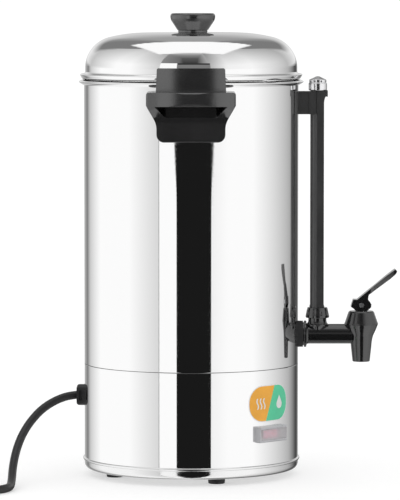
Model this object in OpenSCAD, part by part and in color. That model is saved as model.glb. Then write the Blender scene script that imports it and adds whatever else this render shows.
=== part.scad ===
// Countertop hot water urn: a single-walled steel tank on a heater skirt, with a lift-off
// lid, two moulded handles, a sight gauge and a lever tap. Millimetres, +Z up, origin on the
// floor under the centre of the tank. The tap faces -Y, the handles are at -X and +X.

/* [Body] */
// Outside diameter of the tank and of the skirt below it
body_d = 220; // [205:1:235]
// Thickness of the steel sheet
sheet_t = 0.8; // [0.6:0.1:1.2]
// Height of the seam between skirt and tank above the floor
seam_z = 115.5; // [112:0.5:130]
// Width of the line that shows at the seam
seam_gap = 0.4; // [0.2:0.1:0.8]
// Height of the tank from the seam to the top of its rolled bead
tank_h = 291.2; // [270:0.2:330]
// Height of the tank's rolled bead
rim_bead_h = 5.8; // [5:0.1:6.6]
// How far the rolled bead stands out past the tank wall
rim_bead_out = 5.3; // [4.6:0.1:5.6]
// Height of the tank's floor above the seam
floor_rise = 8; // [7:0.5:10]
// Radius of the corner between the tank's wall and floor
floor_corner_r = 8; // [4:0.5:10]
// Depth of the skirt's stepped collar inside the tank
joggle_h = 6; // [4:0.5:6.5]

/* [Base] */
// Height of the base pan above the floor, which is the height of the feet
foot_h = 6.8; // [6:0.2:10]
// Diameter of a foot
foot_d = 18; // [15:0.5:22]
// Distance of the feet's centres in from the body's wall
foot_inset = 27.5; // [25:0.5:32]
// Angle of the first foot, turned from +X
foot_turn = 18.2; // [10:0.1:25]
// Height of the rolled hem between skirt and base pan above the pan's underside
hem_rise = 10.6; // [9:0.1:13]
// Thickness of the rolled hem
hem_d = 3.2; // [2.8:0.1:3.6]
// Radius of the base pan's lower corner
pan_corner_r = 6; // [4:0.5:7]
// Number of cooling slots in the base pan
vent_count = 16; // [8:1:20]
// Length of a cooling slot
vent_l = 18; // [12:1:20]

/* [Lid] */
// Air gap between the tank's bead and the lid's bead
lid_gap = 0.5; // [0.4:0.1:1]
// Thickness of the lid's rolled bead
lid_bead_d = 6.2; // [5.6:0.1:6.6]
// How far the lid's bead stands out past the tank wall
lid_bead_out = 4; // [3.4:0.1:4.2]
// How far the lid's side stands in from the tank wall
lid_inset = 1.2; // [1.1:0.1:1.7]
// Height of the lid's crown above its bead
lid_rise = 41.6; // [38:0.1:50]
// Radius of the lid's shoulder
lid_shoulder_r = 24; // [18:0.5:27]
// Slope of the lid between its shoulder and the flat crown, in degrees
lid_slope = 9.5; // [7:0.5:11]
// Radius of the flat crown
crown_r = 46; // [40:1:55]
// Depth of the locating collar under the lid's bead
lid_collar_h = 8; // [6:0.5:12]
// Clearance between the locating collar and the tank wall
lid_collar_gap = 1.5; // [1.4:0.1:2.4]
// Length of the steam notch along the lid's bead
notch_l = 32; // [24:1:40]
// Height of the steam notch
notch_h = 2.2; // [1.5:0.1:2.6]
// Angle of the steam notch, turned from +X
notch_angle = 228.3; // [220:0.1:240]
// Diameter of the knob at its widest
knob_d = 47; // [40:0.5:55]
// Diameter of the knob's neck
knob_neck_d = 30; // [24:0.5:34]
// Height of the knob
knob_h = 20.2; // [18:0.2:26]
// How far the knob sits off the lid's centre, towards the tap
knob_shift = 1.6; // [0:0.1:3]

/* [Handles] */
// Width of the grip
grip_w = 89; // [84:1:96]
// Height of the grip's front face
grip_h = 13; // [11:0.5:15]
// Distance of the grip's front from the tank wall
grip_reach = 50; // [44:0.5:56]
// Radius of the grip's front in plan
grip_plan_r = 120; // [100:5:150]
// Distance of the grip's top below the tank's bead
grip_drop = 8.7; // [8:0.1:12]
// Width of the heat guard above the grip
guard_w = 70.4; // [60:0.2:76]
// Height of the heat guard above the grip
guard_h = 23.2; // [18:0.2:28]
// Thickness of the heat guard
guard_t = 6.8; // [5:0.2:8]
// How much narrower the heat guard is at its top
guard_taper = 2.2; // [0:0.2:4]
// Width of the scoop under the grip
scoop_w = 68.4; // [64:0.2:72]
// Distance of the scoop's front from the tank wall
scoop_reach = 32; // [28:0.5:36]
// Height of the whole handle below the grip's underside
scoop_drop = 37; // [32:0.5:44]
// Radius of the scoop's lower corners
scoop_corner_r = 8; // [5:0.5:10]
// Slant of the arms between scoop and grip, in degrees
arm_slant = 29; // [24:0.5:32]
// Height of the finger opening in front
finger_h = 12; // [11:0.5:14]
// Width of the finger opening at its lower edge
finger_w = 51.2; // [46:0.2:54]
// Slant of the finger opening's sides, in degrees
finger_slant = 44; // [30:1:48]
// Wall thickness of the handle moulding
handle_wall = 3; // [2.4:0.1:3.4]
// Width of the mounting block against the tank
block_w = 50; // [44:1:56]
// Thickness of the mounting block against the tank
block_t = 14; // [12:0.5:15]

/* [Tap] */
// Height of the tap's barrel above the seam
barrel_rise = 29.5; // [27:0.5:36]
// Diameter of the barrel
barrel_d = 20.4; // [19:0.2:22]
// Bore of the barrel
barrel_bore = 10; // [8:0.5:11]
// Distance of the tap's axis from the tank wall
tap_reach = 65.1; // [63:0.1:75]
// Diameter of the tap's widest ring
head_d = 34.7; // [33:0.1:37]
// Height of the widest ring above the barrel's centre
head_rise = 10.4; // [10:0.1:12]
// Height of the bonnet above the widest ring
bonnet_h = 13.2; // [12:0.2:16]
// Diameter of the bonnet's top
bonnet_top_d = 24.8; // [22:0.2:27]
// Diameter of the spout's mouth
spout_d = 17.8; // [16.5:0.1:19]
// Distance of the spout's mouth below the barrel's centre
spout_drop = 28.5; // [26:0.5:34]
// Bore of the spout
spout_bore = 11; // [9:0.5:12]
// Diameter of the valve stem
stem_d = 6; // [5:0.2:7]
// Length of the lever's paddle from the pin
lever_l = 50.5; // [44:0.5:60]
// Rise of the paddle at rest, in degrees
lever_rise = 38; // [34:1:42]
// Width of the lever's hub
hub_w = 15; // [13:0.5:17]
// Width of the lever's paddle at its tip
paddle_w = 18; // [14:0.5:22]
// Diameter of the lever's pin
pin_d = 3; // [2.5:0.1:3.5]

/* [Gauge] */
// Distance of the sight glass's axis from the tank wall
gauge_reach = 19.9; // [19.5:0.1:24]
// Outside diameter of the sight glass
glass_d = 10; // [9:0.1:10.4]
// Wall thickness of the sight glass
glass_t = 1.3; // [1:0.1:2]
// Height of the shield's top below the tank's bead
shield_drop = 10.9; // [9:0.1:16]
// Width of the glass shield
shield_w = 14.8; // [14.4:0.1:16]
// Height of the bracket that holds the shield
bracket_h = 23.4; // [20:0.1:28]
// Diameter of the gauge's cap
cap_d = 19; // [18:0.1:21]
// Height of the gauge's cap
cap_h = 14.5; // [13:0.5:18]
// Diameter of the gauge nut at its foot
gauge_nut_d = 24.2; // [23:0.1:26]
// Height of the gauge nut
gauge_nut_h = 10.6; // [9.6:0.2:12.4]

/* [Switch] */
// Angle of the switch, turned from +X
switch_angle = 226.7; // [220:0.1:235]
// Height of the switch's centre above the floor
switch_z = 50.4; // [45:0.1:60]
// Length of the switch's frame
switch_l = 40.5; // [38:0.5:46]
// Height of the switch's frame
switch_h = 16.4; // [16:0.1:20]
// How far the switch's frame stands out from the skirt
frame_out = 5.5; // [5:0.1:7]
// Thickness of the clear splash cover in the frame
cover_t = 1.1; // [0.8:0.1:1.3]
// Angle that the rocker tilts each way, in degrees
rocker_tilt = 8; // [5:0.5:9]

/* [Cord] */
// Height of the cord's gland above the floor
gland_z = 82; // [76:0.5:88]
// Height of the gland
gland_h = 21.3; // [19:0.1:24]
// Width of the gland
gland_w = 17; // [15.5:0.5:20]
// How far the gland stands out from the skirt
gland_out = 8.2; // [7:0.1:10]
// Diameter of the mains cord
cord_d = 8.4; // [7:0.1:8.4]

/* [Heater] */
// Diameter of the heat-spreading plate under the tank
plate_d = 150; // [130:2:170]
// Thickness of the heat-spreading plate
plate_t = 4; // [3:0.5:5]
// Diameter of the heating element's ring
element_ring_d = 118; // [100:2:124]
// Thickness of the heating element
element_d = 8; // [6.5:0.5:9]

/* [Hidden] */
$fn = 96;

steel = "gainsboro";
black = "#1c1c1e";
rubber = "#2b2b2d";
zinc = "silver";
silicone = "#e6e0d8";

fit = 0.02;       // radial gap of a screw or a sealed thread in its hole
running = 0.05;   // radial gap of a shaft that turns or slides in its hole
hole_gap = 0.2;   // radial gap of a screw in a clearance hole
soft_gap = 0.2;   // gap at a soft seal that lifts off its seat
eps = 0.01;       // overlap of two cuts, so that they leave no skin

body_r = body_d / 2;
inner_r = body_r - sheet_t;
rim_z = seam_z + tank_h;
rim_low_z = rim_z - rim_bead_h;
floor_z = seam_z + floor_rise;

hem_z = foot_h + hem_rise;
pan_top_z = foot_h + sheet_t;
foot_circle_r = body_r - foot_inset;
foot_angles = [for (i = [0:3]) foot_turn + 90 * i];
foot_screw_d = 4;
foot_head_d = 7.5;
foot_head_h = 2.4;
foot_recess = 2;
foot_nut_h = 3.2;
tie_d = 6;
tie_nut_h = 4.5;
tie_plate_d = 16;

lid_bead_z = rim_z + lid_gap + lid_bead_d / 2;
lid_bead_r = body_r + lid_bead_out - lid_bead_d / 2;
lid_side_r = body_r - lid_inset;
crown_z = lid_bead_z + lid_bead_d / 2 + lid_rise;
crown_blend_r = 50;
lid_wall_r = lid_side_r - sheet_t;
collar_r = min(inner_r - lid_collar_gap, lid_bead_r - lid_bead_d / 2 - fit, lid_wall_r - fit);
knob_screw_d = 5;
knob_bore_l = 14;
washer_t = 1.2;

grip_top_z = rim_z - grip_drop;
grip_under_z = grip_top_z - grip_h;
scoop_z = grip_under_z - scoop_drop;
guard_back_r = body_r + rim_bead_out + 0.9;
handle_screw_d = 5;
handle_screw_zs = [scoop_z + 13, grip_top_z - 10];
handle_seal_t = 2.2;
screw_head_h = 3;
seal_r = inner_r - handle_seal_t;

barrel_z = seam_z + barrel_rise;
tap_y = body_r + tap_reach;
thread_d = 16;
spigot_d = 15;
spigot_l = 8.5;
tee_nut_d = 30;
tee_nut_h = 8;
tee_seal_t = 5;
tee_end_y = tap_y - 24.6;
gauge_y = body_r + gauge_reach;
branch_d = 18.7;
branch_top_z = barrel_z + 23;
gauge_nut_z = barrel_z + 16.8;
gauge_nut_top_z = gauge_nut_z + gauge_nut_h;
shield_top_z = rim_z - shield_drop;
bracket_z = shield_top_z - 0.9 - bracket_h;
shield_wall = 2.1;
shield_back_y = gauge_y - 7.65;
shield_front_y = gauge_y + 6.3;
glass_low_z = barrel_z + 12;
glass_high_z = shield_top_z + 4;

head_z = barrel_z + head_rise;
bonnet_top_z = head_z + bonnet_h;
spout_z = barrel_z - spout_drop;
chamber_r = 8.2;
seat_z = barrel_z - 7;
seat_h = 3.6;
bonnet_thread_d = 24;
bonnet_spigot_h = 6;
pin_z = bonnet_top_z + 6.4;
hub_z = bonnet_top_z + 0.35;
eye_w = stem_d * 0.8;
lever_swing = 36;

frame_x = body_r + frame_out;
rocker_x = frame_x - 11.2;

// Points of a circular arc, from angle a0 to a1.
function arc(c, r, a0, a1, n = 8) =
    [for (i = [0:n]) let (a = a0 + (a1 - a0) * i / n) c + r * [cos(a), sin(a)]];

// A list the other way round.
function reversed(p) = [for (i = [len(p) - 1:-1:0]) p[i]];

// A list of points mirrored in the vertical axis.
function mirrored(p) = [for (i = [len(p) - 1:-1:0]) [-p[i][0], p[i][1]]];

// Places children at an angle round the tank and a height, with local Z pointing outwards.
module radial(angle, z) translate([0, 0, z]) rotate([0, 0, angle]) rotate([0, 90, 0]) children();

// Places children on the tap's side, with local Z pointing away from the tank.
module front(z) radial(-90, z) children();

// An upright cylinder on the gauge's or the tap's axis.
module upright(y, z0, z1, d) translate([0, -y, z0]) cylinder(d = d, h = z1 - z0);

// The space inside the tank wall, and the space inside the tank's outer surface.
module inside_tank(r) translate([0, 0, -1]) cylinder(r = r, h = rim_z + 100, $fn = 180);

// A screw along +Z, its head below z = 0.
module screw(d, l, head_d, head_h) {
    cylinder(d = d, h = l, $fn = 32);
    translate([0, 0, -head_h]) difference() {
        union() {
            cylinder(d1 = head_d * 0.75, d2 = head_d, h = head_h * 0.35, $fn = 32);
            translate([0, 0, head_h * 0.35]) cylinder(d = head_d, h = head_h * 0.65, $fn = 32);
        }
        for (a = [0, 90]) rotate([0, 0, a])
            cube([head_d * 0.6, head_d * 0.13, head_h], center = true);
    }
}

// A seal that lies against the inside of the tank wall, along local Z.
module wall_seal(angle, z, d, hole) {
    difference() {
        intersection() {
            inside_tank(inner_r);
            radial(angle, z) translate([0, 0, seal_r]) cylinder(d = d, h = 10, $fn = 48);
        }
        radial(angle, z) cylinder(d = hole, h = body_r, $fn = 48);
    }
}

// ---------------------------------------------------------------- body

// The tank's bead from its underside round the tip to the mouth: shares of its reach and height.
rim_bead_line = [
    [0, 0], [0.22, 0.05], [0.5, 0.17], [0.8, 0.33], [0.96, 0.44], [1, 0.52],
    [0.97, 0.6], [0.86, 0.68], [0.58, 0.83], [0.3, 0.95], [0.1, 1], [-0.06, 0.98], [-0.15, 0.9]];

module tank() {
    floor_t = sheet_t * 1.25;
    bead = [for (p = rim_bead_line) [body_r + rim_bead_out * p[0], rim_low_z + rim_bead_h * p[1]]];
    corner = concat(
        [[0, floor_z]],
        arc([inner_r - floor_corner_r, floor_z + floor_corner_r], floor_corner_r, -90, 0));
    color(steel) difference() {
        rotate_extrude($fn = 180) polygon(concat(
            corner, [[inner_r, rim_z - 0.6]], reversed(bead),
            [[body_r, seam_z], [inner_r, seam_z], [inner_r, floor_z - floor_t], [0, floor_z - floor_t]]));
        front(barrel_z) cylinder(d = thread_d + 2 * hole_gap, h = body_r + 5, $fn = 48);
        for (a = [0, 180]) for (z = handle_screw_zs)
            radial(a, z) cylinder(d = handle_screw_d + 2 * hole_gap, h = body_r + 5, $fn = 32);
        front(bracket_z + bracket_h / 2) cylinder(d = handle_screw_d + 2 * hole_gap, h = body_r + 5, $fn = 32);
    }
}

module skirt() {
    top = seam_z - seam_gap;
    step_r = inner_r - fit;
    color(steel) difference() {
        rotate_extrude($fn = 180) polygon([
            [inner_r, hem_z], [body_r, hem_z], [body_r, top], [step_r, top],
            [step_r, seam_z + joggle_h], [step_r - sheet_t, seam_z + joggle_h],
            [step_r - sheet_t, top - joggle_h], [inner_r, top - joggle_h - sheet_t]]);
        rotate([0, 0, switch_angle]) translate([body_r, 0, switch_z])
            cube([20, 2 * (switch_body_y + hole_gap), 2 * (switch_body_z + hole_gap)], center = true);
        radial(90, gland_z) cylinder(d = gland_neck_d + 2 * hole_gap, h = body_r + 5, $fn = 48);
    }
}

module base_pan() {
    outer = arc([body_r - pan_corner_r, foot_h + pan_corner_r], pan_corner_r, -90, 0);
    inner = arc([body_r - pan_corner_r, foot_h + pan_corner_r], pan_corner_r - sheet_t, 0, -90);
    vent_r = body_r * 0.4;
    color(steel) difference() {
        union() {
            rotate_extrude($fn = 180) polygon(concat(
                [[0, foot_h]], outer, [[body_r, hem_z], [inner_r, hem_z]], inner, [[0, pan_top_z]]));
            rotate_extrude($fn = 180) translate([body_r, hem_z]) circle(d = hem_d, $fn = 20);
        }
        // groove in the hem that holds the skirt's lower edge
        translate([0, 0, hem_z]) difference() {
            cylinder(r = body_r + fit, h = hem_d, $fn = 180);
            translate([0, 0, -1]) cylinder(r = inner_r - fit, h = hem_d + 2, $fn = 180);
        }
        for (a = foot_angles) rotate([0, 0, a]) translate([foot_circle_r, 0, 0])
            cylinder(d = foot_screw_d + 2 * hole_gap, h = 20, $fn = 32);
        cylinder(d = tie_d + 2 * hole_gap, h = 20, $fn = 32);
        for (i = [0:vent_count - 1]) rotate([0, 0, 360 * i / vent_count]) translate([vent_r, 0, foot_h]) {
            cube([vent_l, 3, 6], center = true);
            for (s = [-1, 1]) translate([s * vent_l / 2, 0, -3]) cylinder(d = 3, h = 6, $fn = 20);
        }
    }
}

module feet() {
    draft = 0.8;
    color(rubber) for (a = foot_angles) rotate([0, 0, a]) translate([foot_circle_r, 0, 0])
        difference() {
            cylinder(d1 = foot_d - 2 * draft, d2 = foot_d, h = foot_h, $fn = 48);
            translate([0, 0, -1]) cylinder(d = foot_screw_d + 2 * fit, h = foot_h + 2, $fn = 32);
            translate([0, 0, -1]) cylinder(d = foot_head_d + 1, h = foot_recess + foot_head_h + 1, $fn = 32);
        }
}

module foot_screws() {
    color(zinc) for (a = foot_angles) rotate([0, 0, a])
        translate([foot_circle_r, 0, foot_recess + foot_head_h])
            screw(foot_screw_d, foot_h - foot_recess - foot_head_h + sheet_t + foot_nut_h + 1.5,
                foot_head_d, foot_head_h);
}

module foot_nuts() {
    color(zinc) for (a = foot_angles) rotate([0, 0, a]) translate([foot_circle_r, 0, pan_top_z])
        difference() {
            cylinder(d = 8, h = foot_nut_h, $fn = 6);
            translate([0, 0, -1]) cylinder(d = foot_screw_d + 2 * fit, h = foot_nut_h + 2, $fn = 32);
        }
}

module tie_stud() {
    plate_under_z = floor_z - sheet_t * 1.25 - plate_t;
    low = foot_h - tie_nut_h - 0.8;
    color(zinc) {
        translate([0, 0, low]) cylinder(d = tie_d, h = plate_under_z - low, $fn = 32);
        translate([0, 0, plate_under_z - plate_t / 2]) cylinder(d = tie_plate_d, h = plate_t / 2, $fn = 48);
    }
}

module tie_nut() {
    color(zinc) translate([0, 0, foot_h - tie_nut_h]) difference() {
        cylinder(d = 11.5, h = tie_nut_h, $fn = 6);
        translate([0, 0, -1]) cylinder(d = tie_d + 2 * fit, h = tie_nut_h + 2, $fn = 32);
    }
}

// ---------------------------------------------------------------- lid

// The lid's outer line from the crown's centre to the bead, moved inwards by t.
function lid_line(t) =
    let (
        blend_end = [crown_r + crown_blend_r * sin(lid_slope), crown_z - crown_blend_r * (1 - cos(lid_slope))],
        shoulder_x = lid_side_r - lid_shoulder_r,
        start_x = shoulder_x + lid_shoulder_r * sin(lid_slope),
        start_z = blend_end[1] - (start_x - blend_end[0]) * tan(lid_slope),
        shoulder_z = start_z - lid_shoulder_r * cos(lid_slope))
    concat(
        [[0, crown_z - t]],
        arc([crown_r, crown_z - crown_blend_r], crown_blend_r - t, 90, 90 - lid_slope, 4),
        arc([shoulder_x, shoulder_z], lid_shoulder_r - t, 90 - lid_slope, 0, 14),
        [[lid_side_r - t, lid_bead_z]]);

module lid() {
    notch_r = (notch_l * notch_l / 4 + notch_h * notch_h) / (2 * notch_h);
    flare_z = lid_bead_z + lid_bead_d / 2;
    color(steel) difference() {
        union() {
            rotate_extrude($fn = 180) polygon(concat(lid_line(0), reversed(lid_line(sheet_t))));
            rotate_extrude($fn = 180) translate([lid_bead_r, lid_bead_z]) circle(d = lid_bead_d, $fn = 24);
            // the sheet flares out into the bead
            rotate_extrude($fn = 180) polygon([
                [lid_side_r - 0.4, lid_bead_z], [lid_side_r - 0.4, flare_z + 1.6], [lid_side_r, flare_z + 1.6],
                [lid_side_r + 0.3, flare_z + 0.6], [lid_side_r + 1, flare_z], [lid_bead_r, flare_z - 0.1],
                [lid_bead_r, lid_bead_z]]);
        }
        intersection() {
            radial(notch_angle, lid_bead_z - lid_bead_d / 2 + notch_h - notch_r)
                cylinder(r = notch_r, h = body_r + 20, $fn = 96);
            translate([0, 0, lid_bead_z - lid_bead_d / 2 - 1]) difference() {
                cylinder(r = body_r + 20, h = 10, $fn = 180);
                translate([0, 0, -1]) cylinder(r = lid_side_r - 0.4, h = 12, $fn = 180);
            }
        }
        at_knob(crown_z - 5) cylinder(d = knob_screw_d + 2 * hole_gap, h = 10, $fn = 32);
    }
}

// Locating ring welded inside the lid's side, which drops into the tank's mouth.
module lid_collar() {
    weld_z = lid_bead_z + lid_bead_d * 0.6;
    color(steel) rotate_extrude($fn = 180) polygon([
        [collar_r - sheet_t, rim_z - lid_collar_h], [collar_r, rim_z - lid_collar_h], [collar_r, weld_z],
        [lid_wall_r - fit, weld_z + 1], [lid_wall_r - fit, weld_z + 4], [collar_r - sheet_t, weld_z + 4]]);
}

// Places children on the knob's axis.
module at_knob(z) translate([0, -knob_shift, z]) children();

module lid_knob() {
    neck_r = knob_neck_d / 2;
    flare_r = 10;
    edge_r = 2.6;
    color(black) at_knob(crown_z) difference() {
        rotate_extrude($fn = 96) polygon(concat(
            [[0, 0], [neck_r, 0], [neck_r, knob_h * 0.115], [neck_r + 0.9, knob_h * 0.14]],
            arc([knob_d / 2 - flare_r, knob_h * 0.84], flare_r, -35, 0, 6),
            arc([knob_d / 2 - edge_r, knob_h - edge_r], edge_r, 0, 90, 6),
            [[0, knob_h]]));
        translate([0, 0, -1]) cylinder(d = knob_screw_d + 2 * fit, h = knob_bore_l + 1, $fn = 32);
    }
}

module knob_washer() {
    color(zinc) at_knob(crown_z - sheet_t - washer_t) difference() {
        cylinder(d = 16, h = washer_t, $fn = 48);
        translate([0, 0, -1]) cylinder(d = knob_screw_d + 2 * hole_gap, h = washer_t + 2, $fn = 32);
    }
}

module knob_screw() {
    color(zinc) at_knob(crown_z - sheet_t - washer_t) screw(knob_screw_d, knob_bore_l, 9, screw_head_h);
}

// ---------------------------------------------------------------- handles

// Front outline of a handle below its heat guard, moved inwards by t.
function handle_half(t) =
    let (
        arm_r = 20.6 + t,
        low = scoop_z + t,
        w = scoop_w / 2 - t,
        arm_z = scoop_z + 13,
        arm_end = [w + arm_r * (1 - cos(arm_slant)), arm_z + arm_r * sin(arm_slant)],
        grip_x = grip_w / 2 - t,
        arm_top = [arm_end[0] + (grip_under_z - arm_end[1]) * tan(arm_slant), grip_under_z],
        corner = 2.5)
    concat(
        arc([w - scoop_corner_r + t, low + scoop_corner_r - t], scoop_corner_r - t, -90, 0, 6),
        arc([w + arm_r, arm_z], arm_r, 180, 180 - arm_slant, 5),
        [[min(arm_top[0], grip_x), arm_top[1]], [grip_x, grip_under_z + (grip_x - min(arm_top[0], grip_x))]],
        arc([grip_x - corner, grip_top_z - t - corner], corner, 0, 90, 4));

module handle_front(t) {
    half = handle_half(t);
    rotate([90, 0, 90]) linear_extrude(body_r + grip_reach + 20) polygon(concat(half, mirrored(half)));
}

// Heat guard between the tank's bead and the fingers, curved with the tank.
module heat_guard() {
    top_w = (guard_w - guard_taper) / 2;
    half = [
        [guard_w / 2, grip_top_z - handle_wall], [top_w, grip_top_z + guard_h - 1.2],
        [top_w - 1.2, grip_top_z + guard_h]];
    intersection() {
        rotate([90, 0, 90]) linear_extrude(body_r + grip_reach) polygon(concat(half, mirrored(half)));
        translate([0, 0, grip_top_z - 10]) difference() {
            cylinder(r = guard_back_r + guard_t, h = guard_h + 20, $fn = 180);
            translate([0, 0, -1]) cylinder(r = guard_back_r, h = guard_h + 22, $fn = 180);
        }
    }
}

// Side outline of a handle, moved inwards by t.
module handle_side(t) {
    scoop_x = body_r + scoop_reach - t;
    grip_x = body_r + grip_reach - t;
    edge = 2.4;
    lip_z = scoop_z + scoop_drop - finger_h - 4;
    foot = arc([scoop_x - edge, scoop_z + t + edge], edge, -90, 0, 4);
    slope = [
        [scoop_x, lip_z], [scoop_x + 1.2, lip_z + 4], [grip_x - 2, grip_under_z - 0.6], [grip_x, grip_under_z + 2]];
    top = t > 0 ? [[grip_x, grip_top_z - t], [90, grip_top_z - t]] : concat(
        arc([grip_x - edge, grip_top_z - edge], edge, 0, 90, 4),
        [[90, grip_top_z]]);
    rotate([90, 0, 0]) linear_extrude(grip_w + 20, center = true)
        polygon(concat([[90, scoop_z + t]], foot, slope, top));
}

// Plan outline of a handle's grip, moved inwards by t.
module handle_plan(t) {
    r = grip_plan_r - t;
    c = body_r + grip_reach - grip_plan_r;
    a = asin((grip_w / 2 - 5) / grip_plan_r);
    w = grip_w / 2 - t;
    front_end = c + r * cos(a);
    translate([0, 0, scoop_z - 10]) linear_extrude(120) polygon(concat(
        [[60, -w]],
        [[front_end - 4, -w], [front_end - 1.2, -w + 1.4]],
        arc([c, 0], r, -a, a, 16),
        [[front_end - 1.2, w - 1.4], [front_end - 4, w]],
        [[60, w]]));
}

module finger_opening() {
    low = grip_under_z - finger_h;
    high = grip_under_z - 1;
    w = finger_w / 2;
    top_w = w + (high - low) * tan(finger_slant);
    translate([body_r + block_t + 4, 0, 0]) rotate([90, 0, 90]) linear_extrude(60)
        polygon([[-w, low], [w, low], [top_w, high], [-top_w, high]]);
}

module handle() {
    color(black) difference() {
        union() {
            difference() {
                intersection() {
                    handle_front(0);
                    handle_side(0);
                    handle_plan(0);
                }
                intersection() {
                    handle_front(handle_wall);
                    handle_side(handle_wall);
                    handle_plan(handle_wall);
                }
                finger_opening();
            }
            heat_guard();
            // mounting block, and two ribs that stiffen the scoop
            translate([90, -block_w / 2, scoop_z]) cube([body_r + block_t - 90, block_w, grip_top_z - scoop_z]);
            for (y = [-12, 12]) translate([body_r, y - 1, scoop_z + 1]) cube([scoop_reach - 1, 2, 12]);
        }
        inside_tank(body_r + fit);
        for (z = handle_screw_zs) radial(0, z)
            cylinder(d = handle_screw_d + 2 * fit, h = body_r + block_t - 2, $fn = 32);
    }
}

module handle_left() rotate([0, 0, 180]) handle();

module handle_right() handle();

module handle_screws() {
    color(zinc) {
        for (a = [0, 180]) for (z = handle_screw_zs) radial(a, z)
            translate([0, 0, seal_r]) screw(handle_screw_d, body_r + block_t - 3 - seal_r, 10, screw_head_h);
    }
}

module handle_seals() {
    color(silicone) for (a = [0, 180]) for (z = handle_screw_zs) wall_seal(a, z, 14, handle_screw_d + 2 * fit);
}

// ---------------------------------------------------------------- gauge

module tap_tee() {
    flange = 2.5;
    shank_y = seal_r - tee_nut_h - 1.5;
    collar_y = body_r + tee_seal_t;
    color(black) difference() {
        union() {
            front(barrel_z) {
                translate([0, 0, shank_y]) cylinder(d = thread_d, h = collar_y - shank_y, $fn = 64);
                translate([0, 0, collar_y]) cylinder(d = barrel_d + 3.6, h = 1, $fn = 64);
                translate([0, 0, collar_y + 1]) cylinder(d = barrel_d + 6.9, h = flange, $fn = 64);
                translate([0, 0, collar_y + 1]) cylinder(d = barrel_d, h = tee_end_y - collar_y - 1, $fn = 64);
                translate([0, 0, collar_y + 1])
                    cylinder(d = spigot_d, h = tee_end_y - collar_y - 1 + spigot_l, $fn = 64);
            }
            upright(gauge_y, barrel_z, gauge_nut_z, branch_d);
            upright(gauge_y, barrel_z, branch_top_z, thread_d);
            translate([0, -gauge_y, barrel_z + 9.5]) cylinder(d1 = branch_d + 5, d2 = branch_d, h = 4);
        }
        front(barrel_z) translate([0, 0, seal_r - 20]) cylinder(d = barrel_bore, h = tee_end_y, $fn = 48);
        upright(gauge_y, barrel_z, branch_top_z + 1, barrel_bore - 2);
        upright(gauge_y, glass_low_z, branch_top_z + 1, glass_d + 4 * fit);
    }
}

module tee_nut() {
    color(zinc) front(barrel_z) translate([0, 0, seal_r - tee_nut_h]) difference() {
        cylinder(d = tee_nut_d, h = tee_nut_h, $fn = 6);
        translate([0, 0, -1]) cylinder(d = thread_d + 2 * fit, h = tee_nut_h + 2, $fn = 64);
    }
}

module tee_seal_inner() {
    color(silicone) wall_seal(-90, barrel_z, 25, thread_d + 2 * fit);
}

module tee_seal_outer() {
    color(rubber) difference() {
        front(barrel_z) translate([0, 0, body_r - 6]) cylinder(d = barrel_d + 6.6, h = 6 + tee_seal_t, $fn = 64);
        inside_tank(body_r);
        front(barrel_z) cylinder(d = thread_d + 2 * fit, h = body_r + 10, $fn = 64);
    }
}

module gauge_seal() {
    color(silicone) translate([0, -gauge_y, branch_top_z]) difference() {
        cylinder(d = thread_d - 0.4, h = 2, $fn = 48);
        translate([0, 0, -1]) cylinder(d = glass_d + 2 * fit, h = 4, $fn = 48);
    }
}

module gauge_nut() {
    notches = 10;
    taper = 3.6;
    color(black) translate([0, -gauge_y, gauge_nut_z]) difference() {
        union() {
            cylinder(d = gauge_nut_d, h = 2.2);
            translate([0, 0, 2.2]) cylinder(d1 = gauge_nut_d, d2 = gauge_nut_d - taper, h = gauge_nut_h - 2.2);
        }
        translate([0, 0, -1]) cylinder(d = thread_d + 2 * fit, h = branch_top_z + 2 - gauge_nut_z + 1, $fn = 64);
        cylinder(d = glass_d + 0.6, h = gauge_nut_h + 1, $fn = 48);
        for (i = [0:notches - 1]) rotate([0, 0, 360 * (i + 0.5) / notches])
            translate([gauge_nut_d / 2 + 0.6, 0, 2.8]) cylinder(d = 3.4, h = gauge_nut_h, $fn = 20);
    }
}

module gauge_glass() {
    color("lightcyan", 0.4) translate([0, -gauge_y, 0]) difference() {
        translate([0, 0, glass_low_z]) cylinder(d = glass_d, h = glass_high_z - glass_low_z, $fn = 48);
        translate([0, 0, glass_low_z - 1])
            cylinder(d = glass_d - 2 * glass_t, h = glass_high_z - glass_low_z + 2, $fn = 48);
    }
}

module gauge_shield() {
    visor_h = 6.3;
    visor_out = 3.8;
    back_r = shield_w / 2;
    slot_r = back_r - shield_wall;
    foot_z = gauge_nut_top_z;
    color(black) difference() {
        union() {
            translate([0, 0, foot_z]) linear_extrude(shield_top_z - foot_z) shield_outline(0);
            translate([0, 0, foot_z]) linear_extrude(2.4) shield_outline(0.5);
            // visor that closes the channel at its top, on a concave web each side
            translate([-back_r, -shield_front_y - visor_out, shield_top_z - visor_h])
                cube([shield_w, visor_out + 8, visor_h]);
            for (s = [-1, 1]) translate([s * (back_r - shield_wall / 2), -shield_front_y, shield_top_z - visor_h])
                rotate([90, 0, -90]) linear_extrude(shield_wall, center = true)
                    polygon([[-0.5, -6.5], [-0.5, 0.5], [1.5, 0.5], [1.5, 0], [0.7, -2], [0.25, -4], [0, -6.5]]);
        }
        translate([0, -gauge_y, foot_z - 1]) linear_extrude(shield_top_z - visor_h - foot_z + 1) {
            circle(r = slot_r, $fn = 48);
            translate([-slot_r, -30]) square([2 * slot_r, 30]);
        }
        upright(gauge_y, foot_z - 1, shield_top_z + 1, glass_d + 0.6);
    }
}

// The shield's channel section from above, grown by t.
module shield_outline(t) {
    r = shield_w / 2 + t;
    translate([0, -(shield_back_y + shield_w / 2)]) circle(r = r, $fn = 64);
    translate([-r, -shield_front_y - t]) square([2 * r, shield_front_y - shield_back_y - shield_w / 2 + t]);
}

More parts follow.
